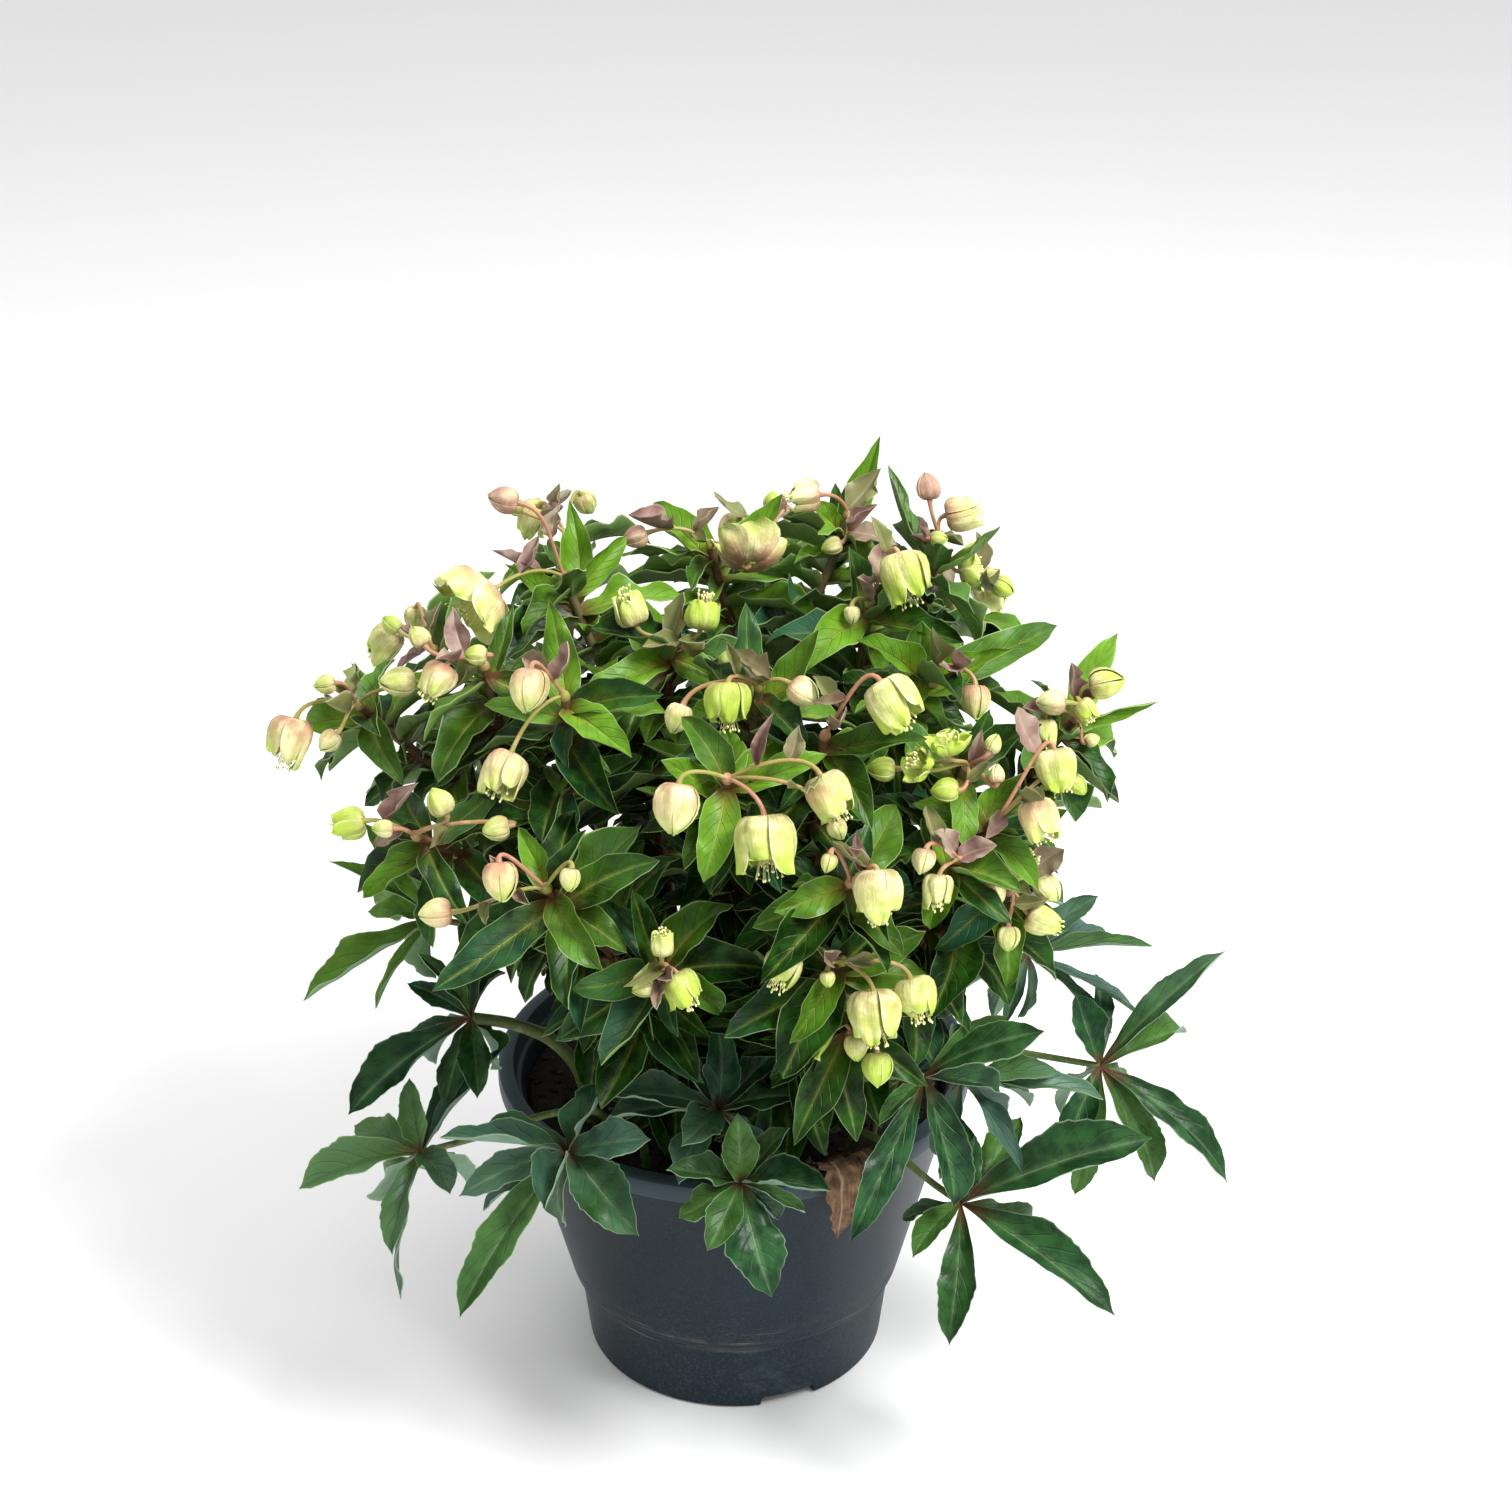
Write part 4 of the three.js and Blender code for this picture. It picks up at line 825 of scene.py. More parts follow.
def flat_form(rows, columns):
    """A flat, thick sheet from foot to tip: each point's t and v, and 1 where it is on the under side."""
    bpy.ops.object.select_all(action="DESELECT")
    bpy.ops.mesh.primitive_grid_add(x_subdivisions=rows, y_subdivisions=columns, size=2, location=(0, 0, 0))
    sheet = bpy.context.object
    bpy.ops.object.modifier_add(type="SOLIDIFY")
    sheet.modifiers[-1].thickness = 1
    sheet.modifiers[-1].offset = -1
    apply_last(sheet)
    points, faces = take_form(sheet)
    triangles = [(f[0], f[i], f[i + 1]) for f in faces for i in range(1, len(f) - 1)]
    turned_round = [tuple(reversed(f)) for f in faces]
    deep = (points[:, 2] < -0.5).astype(float)
    return SimpleNamespace(t=(points[:, 0] + 1) / 2, v=-points[:, 1], deep=deep, faces=faces,
                           back_faces=turned_round, corners=np.array(triangles))


def outward(points, form):
    """A flat form's faces, all turned round if they would point into the solid that its points now make."""
    a, b, c = (points[form.corners[:, i]] for i in range(3))
    return form.faces if np.einsum("ij,ij->", a, np.cross(b, c)) > 0 else form.back_faces


def run_of(flat):
    return np.column_stack([flat.t, (flat.v + 1) / 2])


def tone_rows(tone, middle):
    """The two tones of a form, with each point's own value between them."""
    return np.column_stack([np.full(len(middle), tone[0]), middle, np.full(len(middle), tone[1])])


FLAT = {"leaf": flat_form(18, 8), "filling": flat_form(10, 6), "leaflet": flat_form(36, 8),
        "more": flat_form(24, 6), "sepal": flat_form(12, 9), "bractlet": flat_form(8, 6),
        "dried": flat_form(28, 8)}
THICK = {"leaf": 0.62, "leaflet": 0.6, "bractlet": 0.5}
TOOTH = {"spacing": 5.0, "most": 12, "depth": 0.1}
FULL_WIDTH = 16  # a blade this wide waves and droops as much as any


def edge_of(leaf, t, v, point):
    """The finer outline: drawn out to a point by a share, or toothed over a leaflet's outer part."""
    half = outline(leaf.shape, t) * np.clip((1 - t) / 0.09, 0.02, 1) ** 0.75
    if leaf.shape == "leaflet":
        teeth = min(TOOTH["most"], round(leaf.length / TOOTH["spacing"]))
        tooth = (t * teeth) % 1 * np.clip((t - 0.35) / 0.2, 0, 1) * np.clip((1 - t) / 0.08, 0, 1)
        return half * (1 + TOOTH["depth"] * tooth * np.abs(v) ** 3)
    return half * (1 - point * np.clip((t - 0.55) / 0.3, 0, 1) * np.clip((1.03 - t) / 0.1, 0, 1))


def edge_wave(rng, t, most):
    """A slow wave along one edge, with a smaller quick one on it."""
    slow = most * rng.uniform(0.3, 1) * np.sin(ROUND * (t * rng.uniform(0.9, 2.4) + rng.random()))
    return slow + most * 0.22 * np.sin(ROUND * (t * rng.uniform(3, 5) + rng.random()))


def ridge(v, wide):
    """1 over the midrib, and soon 0 beside it."""
    return np.exp(-(v / wide) ** 2)


def bend_blade(skin, flat, leaf, rng, finish, tone, thick):
    """One blade bent along its midrib: its edges waved and curled, twisted a little, its tip bent back."""
    t, v = flat.t, flat.v
    point, normal = rib_at(leaf, t)
    belly, away = np.sin(np.pi * t), np.abs(v)
    half = leaf.width / 2 * edge_of(leaf, t, v, rng.uniform(-0.12, 0.3))
    half = half * (1 + np.where(v > 0, edge_wave(rng, t, 0.12), edge_wave(rng, t, 0.12)) * belly)
    sway = min(1.0, leaf.width / FULL_WIDTH)
    wave = np.where(v > 0, edge_wave(rng, t, 3.4 * sway), edge_wave(rng, t, 3.4 * sway))
    wave = wave * (belly ** 0.6 * v ** 2)
    curl = np.where(v > 0, rng.uniform(-0.3, 0.65), rng.uniform(-0.3, 0.65)) * v ** 4 * half
    twist = (rng.uniform(-0.5, 0.5) * t * t)[:, None]
    bow = rng.uniform(-2.0, 2.0) * sway * belly
    fold = leaf.fold * rng.uniform(0.5, 2.4)
    droop = rng.uniform(-2.5, 6.5) * sway
    across = v * half * math.cos(fold) * (1 - 0.12 * np.abs(curl) / np.maximum(half, 1)) + bow
    rise = away * half * math.sin(fold) + wave + curl - droop * t ** 4 - 0.35 * ridge(v, 0.14) * belly
    depth = thick * (1.1 - 0.3 * away) + 0.75 * ridge(v, 0.13) * (1 - 0.8 * t)
    depth = np.minimum(depth, 0.35 + half)
    side = leaf.side[None] * np.cos(twist) + normal * np.sin(twist)
    up = normal * np.cos(twist) - leaf.side[None] * np.sin(twist)
    points = point + side * across[:, None] + up * (rise - flat.deep * depth)[:, None]
    skin.add(points, outward(points, flat), run_of(flat), tone_rows(tone, flat.deep), finish)


def bands(rings, sides, first=0):
    """The faces between rings of points, of which the very first point has the number first."""
    faces = []
    for i in range(rings - 1):
        for k in range(sides):
            a, b = first + i * sides + k, first + i * sides + (k + 1) % sides
            faces.append((a, b, b + sides, a + sides))
    return faces


def ring_rows(line, radii, sides):
    """Rings of points along a line, each turned as little as possible from the one before."""
    side, rows = SEAM, []
    turns = ROUND * np.arange(sides) / sides
    for p, d, r in zip(line, line_headings(line), radii):
        side = square_to(side, d)
        over = np.cross(d, side)
        rows.append(p + side * (r * np.cos(turns))[:, None] + over * (r * np.sin(turns))[:, None])
    return np.vstack(rows)


def tube(skin, line, radii, sides, finish, tone):
    """A round stalk along a line, closed at both ends."""
    rings = len(line)
    ends = [tuple(reversed(range(sides))), tuple(range((rings - 1) * sides, rings * sides))]
    t = np.repeat(np.linspace(0, 1, rings), sides)
    along = np.column_stack([t, np.tile(np.arange(sides) / sides, rings)])
    skin.add(ring_rows(line, radii, sides), ends + bands(rings, sides), along, tone_rows(tone, t), finish)


def stem_tube(skin, line, radius, tone, girth=1):
    """A stem or leaf stalk whose radius is a rule of the share of its length."""
    tube(skin, line, radius(np.linspace(0, 1, len(line))) * girth, 10, 1, tone)


def rounded(line, cuts=5, passes=4):
    """A line with points between its corners, and its corners eased."""
    fine = cut_up(line, lambda a, b: cuts)
    for _ in range(passes):
        fine[1:-1] = (fine[:-2] + 2 * fine[1:-1] + fine[2:]) / 4
    return fine


# ---------- blooms ----------

# Sections from the stalk to the tips: height and radius as shares of the length, half angle of a sepal.
CUPS = {
    "bud": [(0.03, 0.06, 36), (-0.01, 0.17, 40), (0.03, 0.31, 44), (0.22, 0.43, 46), (0.5, 0.43, 46),
            (0.76, 0.31, 44), (0.93, 0.13, 36), (1, 0.03, 20)],
    "bell": [(0.06, 0.06, 36), (-0.03, 0.2, 40), (-0.01, 0.37, 44), (0.2, 0.49, 48), (0.5, 0.49, 49),
             (0.76, 0.45, 45), (0.93, 0.43, 33), (1, 0.41, 13)],
    "open": [(0, 0.06, 36), (-0.03, 0.14, 40), (0, 0.27, 44), (0.08, 0.4, 46), (0.2, 0.47, 45),
             (0.32, 0.5, 41), (0.41, 0.52, 30), (0.45, 0.53, 12)],
}
SEPALS = 5
WIDE_OPEN = "ix"  # cymes whose bells stand wide open
# Shares of a bloom's size. shut: how far the mouth draws in. reach: how long a sepal is. ruffle: of its rim.
# keel: how far its middle stands out. flare: how far its tip bends out.
BUD = {"shut": (0, 0.1), "reach": (0.92, 1.0), "ruffle": 0.014, "keel": 0.03, "flare": (0, 0)}
BELL = {"shut": (0.15, 0.62), "reach": (0.7, 1.06), "ruffle": 0.06, "keel": 0.05, "flare": (-0.12, 0.14)}
OPEN = {"shut": (0, 0.1), "reach": (0.8, 1.06), "ruffle": 0.06, "keel": 0.03, "flare": (-0.08, 0.14)}
MANNERS = {"bud": BUD, "bell": BELL, "open": OPEN}
STAMENS = {"count": 18, "turn": 2.39996, "from_axis": 0.9, "thread": 0.16, "anther": [0.2, 0.55, 0.2]}


def eased(rows, passes=3):
    """Corners cut from a line of rows."""
    rows = np.array(rows, float)
    for _ in range(passes):
        a, b = rows[:-1], rows[1:]
        cut = np.stack([a * 0.75 + b * 0.25, a * 0.25 + b * 0.75], axis=1).reshape(-1, 3)
        rows = np.vstack([rows[:1], cut, rows[-1:]])
    return rows


def square_pair(axis):
    side = square_to(SEAM, axis)
    return side, np.cross(axis, side)


def sepal(skin, bloom, k, spin, shut, sway, rng, tone):
    """One of the five sepals, one edge lapped over its neighbour, with a ruffled rim and a crease or two."""
    flat, manner = FLAT["sepal"], MANNERS[bloom.kind]
    v, t = flat.v, flat.t
    belly = np.sin(np.pi * t)
    rows = eased(CUPS[bloom.kind])
    z, r, spread = (np.interp(t, np.linspace(0, 1, len(rows)), rows[:, i]) for i in range(3))
    r = r * (1 - shut * np.clip((t - 0.4) / 0.6, 0, 1) ** 1.6)
    reach = 1 + (rng.uniform(*manner["reach"]) - 1) * t
    lean = math.radians(rng.uniform(-12, 12)) * t
    angle = spin + ROUND * k / SEPALS + lean + v * np.radians(spread * rng.uniform(0.78, 1.12))
    lap = (0.022 + 0.03 * t) * v + rng.uniform(-0.012, 0.022)
    flare = rng.uniform(*manner["flare"]) * t ** 2
    ruffle = manner["ruffle"] * np.sin(v * rng.uniform(3, 6) + t * 6 + rng.uniform(0, 6)) * t ** 1.5
    crease = 0.035 * ridge(v - rng.uniform(-0.3, 0.3), 0.25) * belly * rng.choice((1, 1, -1))
    crease = crease - manner["keel"] * v * v * belly ** 0.7
    pucker = 0.008 * np.sin(v * 11 + rng.uniform(0, 6)) * np.sin(t * 9 + rng.uniform(0, 6))
    radius = bloom.length * (r + (lap + flare + ruffle + crease + pucker) * np.clip(t * 4, 0, 1))
    radius = np.maximum(radius, 0.35) - flat.deep * np.minimum(0.5, 0.4 * r * bloom.length)
    side, over = square_pair(bloom.axis)
    points = bloom.foot + bloom.axis * (z * reach * bloom.length)[:, None] \
        + side * (radius * np.cos(angle))[:, None] + over * (radius * np.sin(angle))[:, None] \
        + sway * (t * t * bloom.length)[:, None]
    skin.add(points, outward(points, flat), run_of(flat), tone_rows(tone, flat.deep), 0)


def stamens(skin, bloom, rng):
    """A ring of threads with an anther each, round the middle of the bloom."""
    mouth = 0.44 if bloom.kind == "open" else 1
    side, over = square_pair(bloom.axis)
    for i in range(STAMENS["count"]):
        turn = i * STAMENS["turn"]
        out = side * math.cos(turn) + over * math.sin(turn)
        rise = bloom.length * mouth * rng.uniform(0.72, 1.02)
        spread = bloom.length * rng.uniform(0.04, 0.2)
        foot = bloom.foot + bloom.axis * (0.05 * bloom.length) + out * STAMENS["from_axis"]
        bent = foot + bloom.axis * rise * 0.8 + out * (spread * 0.8)
        tip = foot + bloom.axis * rise + out * spread
        line = bezier(foot, foot + bloom.axis * (rise * 0.5), bent, tip, 3)
        tube(skin, line, [STAMENS["thread"]] * 4, 3, 3, (0.5, 0.5))
        bead = np.array([line[-1] + bloom.axis * s for s in (-0.2, 0.45, 1.1)])
        tube(skin, bead, STAMENS["anther"], 5, 3, (1, 1))


# ---------- pieces of the plant ----------

# How far up a stem leaf is as bright as any, and how much duller a filling leaf is. Brighter higher up is
# partly the paler colour of young leaves and partly painted light on the top of the bush; the duller filling
# leaves inside it are painted shade.
BRIGHT = {"from": 200, "over": 230, "filling": 0.3}


def dress_stem(stem, finishes):
    rng = random.Random(stem.name)
    skin = Skin()
    stem_tube(skin, rounded(stem.trunk), trunk_radius, (rng.random(), 0))
    for branch in stem.branches:
        stem_tube(skin, rounded(branch), branch_radius, (rng.random(), 1))
    for leaf in stem.leaves:
        middle = leaf.foot + leaf.heading * leaf.length * 0.6
        # Painted light and shade: the leaf's brightness share grows with height, partly for young leaves and
        # partly as painted light on top, and drops for filling leaves inside as painted shade.
        height = np.clip((float(middle[2]) - BRIGHT["from"]) / BRIGHT["over"], 0, 1)
        bright = np.clip(height * rng.uniform(0.15, 1.5) - (BRIGHT["filling"] if leaf.filling else 0), 0, 1)
        flat = FLAT["filling" if leaf.filling else "leaf"]
        bend_blade(skin, flat, leaf, rng, 0, (rng.random(), bright), THICK["leaf"])
    settle(skin.piece("leafy_" + stem.name, finishes), stem.name)


# How blue and how bright the leaflets of some fans are, and how thick some leaf stalks are. The blue share is
# partly the leaflets' own blue-grey bloom and partly painted reflection of the pale sky on their gloss.
FAN_TONES = {"fan_left_low": (0.95, 0.35), "fan_front_left": (0.8, 0.2), "fan_left_high": (0.1, 1.0),
             "fan_left": (0.3, 0.2), "fan_front_inner": (0.75, 0.15), "fan_front": (0.35, 0.3),
             "fan_right_low": (0.25, 0.3), "fan_right": (0.95, 0.2), "fan_right_high": (0.95, 0.25),
             "fan_front_right": (0.3, 0.25)}
PLAIN_TONE = (0.5, 0.3)
PETIOLE_GIRTH = {"fan_left": 1.5, "fan_front_left": 1.0}
PLAIN_GIRTH = 0.86


def dress_fan(fan, finishes):
    rng = random.Random(fan.name)
    skin = Skin()
    girth = PETIOLE_GIRTH.get(fan.name, PLAIN_GIRTH)
    stem_tube(skin, rounded(fan.line), petiole_radius, (rng.random(), 0), girth)
    blue_sheen_and_bloom, bright = FAN_TONES.get(fan.name, PLAIN_TONE)
    for leaf in fan.leaves:
        tone = np.clip((blue_sheen_and_bloom + rng.uniform(-0.2, 0.2), bright + rng.uniform(-0.2, 0.25)), 0, 1)
        bend_blade(skin, FLAT["more" if leaf.filling else "leaflet"], leaf, rng, 0, tone, THICK["leaflet"])
    settle(skin.piece("leaf_" + fan.name, finishes), fan.name)


# The hues of each cyme's blooms, in their order: m mauve, r rosy with green tips, p pink, c cream, y yellow
# green, g green. HUE_TONES has how pink and how green each is.
HUES = {"a": "rm", "b": "mr", "c": "ygg", "d": "yrpc", "e": "cry", "f": "pp", "g": "ygcc", "h": "rpc",
        "i": "pyrc", "j": "cgp", "k": "y", "l": "yc", "m": "pc", "n": "mpyy", "o": "r", "p": "ypycc",
        "q": "gggcpg", "r": "pyg", "s": "cy", "t": "pc", "u": "gpcyy", "v": "cccy", "w": "gcg", "x": "cgc"}
BACK_HUES = "cyg"
HUE_TONES = {"m": (1.0, 0.05), "r": (0.82, 0.4), "p": (0.68, 0.3), "c": (0.36, 0.48), "y": (0.32, 0.62),
             "g": (0.08, 0.9)}


def dress_cyme(cyme, finishes):
    rng = random.Random("blooms of " + cyme.name)
    skin = Skin()
    knob = np.array([cyme.fork + cyme.axis * s for s in (0.3, 1.6, 3.2, KNOB["height"])])
    tube(skin, knob, [2.1, 2.5, 2.3, 1.5], 10, 1, (rng.random(), 1))
    hues = HUES.get(cyme.name, BACK_HUES)
    for i, bloom in enumerate(cyme.blooms):
        line = stalk_line(cyme, bloom, 12)
        t = np.linspace(0, 1, len(line))
        tube(skin, line, 0.8 + 0.2 * t + 0.4 * np.clip((t - 0.88) / 0.12, 0, 1), 8, 1, (rng.random(), 1))
        pink, green = HUE_TONES[hues[i % len(hues)]]
        tone = np.clip((pink + rng.uniform(-0.06, 0.06), green + rng.uniform(-0.1, 0.1)), 0, 1)
        spin = rng.uniform(0, ROUND)
        shut = rng.uniform(*MANNERS[bloom.kind]["shut"]) * (cyme.name not in WIDE_OPEN)
        aside = RIGHT * rng.uniform(-1, 1) + FRONT * rng.uniform(-1, 1)
        sway = square_to(aside, bloom.axis) * rng.uniform(0, 0.1)
        for k in range(SEPALS):
            sepal(skin, bloom, k, spin, shut, sway, rng, tone)
        if bloom.kind != "bud":
            stamens(skin, bloom, rng)
    for leaf in cyme.bractlets:
        bend_blade(skin, FLAT["bractlet"], leaf, rng, 2, (rng.random(), rng.random()), THICK["bractlet"])
    settle(skin.piece("blooms_" + cyme.name, finishes), cyme.node)


# Dried strips over the lip: how many degrees round the pot, and their share of the width and of the length.
DRIED = [(-3, 1.2, 1.0), (6, 0.95, 0.96), (-10, 0.6, 0.6), (1.5, 0.5, 0.9)]
DRIED_RIB = [*WITHERED["rib"], (113.2, 122)]
DRIED_SPREAD = [0, 0.5, 0.8, 0.7, 1, 0.8, 0.55, 0]
DRIED_CURL = [0, 0.4, 0.1, 0.35, 0.2, 0.6, 0.5, 0.2]


def rows_at(t, at, rows):
    return np.column_stack([np.interp(t, at, rows[:, i]) for i in range(3)])


def dress_withered(finish):
    """The dried leaf: crumpled strips along its midrib, each closed all round."""
    skin, flat = Skin(), FLAT["dried"]
    line, normal, side = withered_frame(DRIED_RIB)
    along_rib = np.linspace(0, 1, len(line))
    for turn, wide, long in DRIED:
        at = along_rib / long
        middle, up = rows_at(flat.t, at, line), rows_at(flat.t, at, normal)
        up /= np.linalg.norm(up, axis=1)[:, None]
        half = WITHERED["half"] * wide * np.interp(flat.t, along_rib, DRIED_SPREAD)
        curl = np.interp(flat.t, at, DRIED_CURL)
        ragged = 1 + 0.14 * np.sin(flat.t * 47 + turn) * np.abs(flat.v) ** 2
        crumple = 0.4 * np.sin(flat.t * 31 + flat.v * 3 + turn) * (1 - np.abs(flat.v))
        crumple = crumple + 0.35 * np.sin(flat.v * 9 + flat.t * 12 + turn)
        rise = half * curl * np.abs(flat.v) + crumple * np.clip(half / 4, 0, 1) + 0.45 - flat.deep * 0.9
        points = middle + side * (flat.v * np.maximum(half, 0.3) * ragged)[:, None] + up * rise[:, None]
        points = np.array([turned(p, UP, math.radians(turn)) for p in points])
        skin.add(points, outward(points, flat), run_of(flat), (0.5, 0.5, 0.5), 0)
    settle(skin.piece("dried_leaf", [finish]), "withered_leaf")


# ---------- pot and soil ----------

# The pot's skin as (radius, z): out over the foot and up the wall to the rolled lip, then down inside.
POT_LINE = [(0, 1.2), (66, 1.2), (68.5, 0), (73.2, 0), (74.2, 0.8), (78.6, 38.6), (79.2, 40.2), (81.2, 41.4),
            (82.4, 42.6), (82.9, 44.2), (108.3, 145.2), (109, 146.8), (111.2, 147.6), (113.9, 148),
            (114.8, 148.9), (115, 150.2), (115, 155.4), (114.5, 156.9), (113.2, 157.8), (111, 158),
            (108.8, 158), (107.6, 157.6), (107, 156.4), (106.7, 149.6), (106, 148.4), (104.2, 147.8),
            (103.4, 146.6), (80.4, 43), (76.6, 38), (72.2, 4.4), (70.6, 3), (0, 3)]
POT_TURNS = 120
POT_CREASE = 35
CREASE = 42
WELD = 0.02
SLOT_EDGE = {"radius": 2.2, "steps": 3}


def spin_pot():
    """The pot's half section, spun all the way round."""
    mesh = bpy.data.meshes.new("nursery_pot")
    edges = [(i, i + 1) for i in range(len(POT_LINE) - 1)]
    mesh.from_pydata([(r * MM, 0, z * MM) for r, z in POT_LINE], edges, [])
    pot = linked("nursery_pot", mesh)
    select_only(pot)
    bpy.ops.object.mode_set(mode="EDIT")
    bpy.ops.mesh.select_all(action="SELECT")
    bpy.ops.mesh.spin(steps=POT_TURNS, angle=ROUND, center=(0, 0, 0), axis=(0, 0, 1))
    bpy.ops.mesh.select_all(action="SELECT")
    bpy.ops.mesh.remove_doubles(threshold=WELD * MM)
    bpy.ops.mesh.normals_make_consistent(inside=False)
    bpy.ops.object.mode_set(mode="OBJECT")
    return pot


def cut_slot(pot, turn):
    """A drain slot with rounded edges, cut from the foot at a turn round the pot."""
    foot = POT["foot"] * MM
    bpy.ops.object.select_all(action="DESELECT")
    size = (POT["slot_depth"] * MM, POT["slot_width"] * MM, 2 * POT["slot_height"] * MM)
    bpy.ops.mesh.primitive_cube_add(size=1, location=(foot * math.cos(turn), foot * math.sin(turn), 0),
                                    rotation=(0, 0, turn), scale=size)
    cutter = bpy.context.object
    bpy.ops.object.transform_apply(location=True, rotation=True, scale=True)
    bpy.ops.object.modifier_add(type="BEVEL")
    cutter.modifiers[-1].width = SLOT_EDGE["radius"] * MM
    cutter.modifiers[-1].segments = SLOT_EDGE["steps"]
    apply_last(cutter)
    select_only(pot)
    bpy.ops.object.modifier_add(type="BOOLEAN")
    pot.modifiers[-1].operation = "DIFFERENCE"
    pot.modifiers[-1].object = cutter
    apply_last(pot)
    bpy.data.objects.remove(cutter)


def model_pot(finish):
    pot = spin_pot()
    for k in range(POT["slots"]):
        cut_slot(pot, math.radians(POT["slot_turn"] + 360 / POT["slots"] * k))
    smooth(pot, POT_CREASE)
    pot.data.materials.clear()
    pot.data.materials.append(finish)
    settle(pot, "pot")


# rings: from the wall to the middle. turns: points round each. foot: the height of the under side. gap and
# rim_gap: to the wall, below and at the top. sunk: how far the wall's top ring lies under the top. level: the
# last row that stays smooth. calm: how far from the wall the lumps are full. lumps: height, fineness, shift.
GROUND = {"rings": 44, "turns": 132, "foot": 4.0, "gap": 0.4, "rim_gap": 0.3, "sunk": 3.0, "level": 3,
          "calm": 8, "lumps": [(1.5, 0.09, 1.3), (0.9, 0.27, 4.1), (0.45, 0.8, 7.7)]}
CRUMBS = {"seed": 5, "count": 900, "reach": 0.985, "small": (0.5, 2.1), "large": (1.6, 3.2),
          "lift": (-0.4, 0.7), "large_each": 9, "grit_each": 7}


def wall_at(z):
    return float(inner_radius(np.array([z]))[0])


def crowned(rim, r):
    """The soil's height at a radius."""
    return SOIL["top"] + SOIL["crown"] * (1 - r / rim)


def add_ground(skin, rim):
    """The filling inside the wall, rough on top."""
    turns = GROUND["turns"]
    rows = [(wall_at(z) - GROUND["gap"], z) for z in (GROUND["foot"], float(POT["band"]))]
    rows.append((rim, SOIL["top"] - GROUND["sunk"]))
    for i in range(1, GROUND["rings"]):
        r = rim * (1 - i / GROUND["rings"])
        rows.append((r, crowned(rim, r)))
    points = [(0, 0, rows[0][1])]
    for i, (r, z) in enumerate(rows):
        for k in range(turns):
            x, y = r * math.cos(ROUND * k / turns), r * math.sin(ROUND * k / turns)
            lift = sum(high * noise.noise((x * fine, y * fine, far)) for high, fine, far in GROUND["lumps"])
            lift *= min(1, (rim - r) / GROUND["calm"]) if i > GROUND["level"] else 0
            points.append((x, y, z + lift))
    points.append((0, 0, crowned(rim, 0)))
    faces = [(0, 1 + (k + 1) % turns, 1 + k) for k in range(turns)] + bands(len(rows), turns, 1)
    last = 1 + (len(rows) - 1) * turns
    faces += [(last + k, last + (k + 1) % turns, len(points) - 1) for k in range(turns)]
    skin.add(np.array(points, float), faces, (0.5, 0.5), (0.5, 0, 0), 0)


def add_crumb(skin, ball, rng, at, size, finish):
    points, faces = ball
    stretch = np.array([rng.uniform(0.6, 1.7), rng.uniform(0.6, 1.2), rng.uniform(0.4, 0.9)]) * size
    knobbly = 1 + 0.3 * np.array([rng.uniform(-1, 1) for _ in range(len(points))])[:, None]
    turn = rng.uniform(0, math.pi)
    placed = points * stretch * knobbly
    c, s = math.cos(turn), math.sin(turn)
    x, y = placed[:, 0] * c - placed[:, 1] * s, placed[:, 0] * s + placed[:, 1] * c
    placed = np.column_stack([x, y, placed[:, 2]]) + np.array(at)
    skin.add(placed, faces, (0.5, 0.5), (rng.random(), 1, rng.random()), finish)


def model_soil(finishes):
    """The soil, with crumbs and grit lying on it."""
    skin = Skin()
    rim = wall_at(SOIL["top"] - GROUND["sunk"]) - GROUND["rim_gap"]
    add_ground(skin, rim)
    rng = random.Random(CRUMBS["seed"])
    bpy.ops.object.select_all(action="DESELECT")
    bpy.ops.mesh.primitive_ico_sphere_add(subdivisions=1, radius=1)
    ball = take_form(bpy.context.object)
    for i in range(CRUMBS["count"]):
        turn, r = rng.uniform(0, ROUND), rim * math.sqrt(rng.random()) * CRUMBS["reach"]
        size = rng.uniform(*CRUMBS["small" if i % CRUMBS["large_each"] else "large"])
        at = (r * math.cos(turn), r * math.sin(turn), crowned(rim, r) + rng.uniform(*CRUMBS["lift"]))
        add_crumb(skin, ball, rng, at, size, 0 if i % CRUMBS["grit_each"] else 1)
    settle(skin.piece("potting_soil", finishes), "soil")


# ---------- finishes ----------


def tone_of(code):
    """A linear colour from its six-figure code."""
    parts = [int(code[i:i + 2], 16) / 255 for i in (1, 3, 5)]
    return tuple(p / 12.92 if p <= 0.04045 else ((p + 0.055) / 1.055) ** 2.4 for p in parts) + (1.0,)


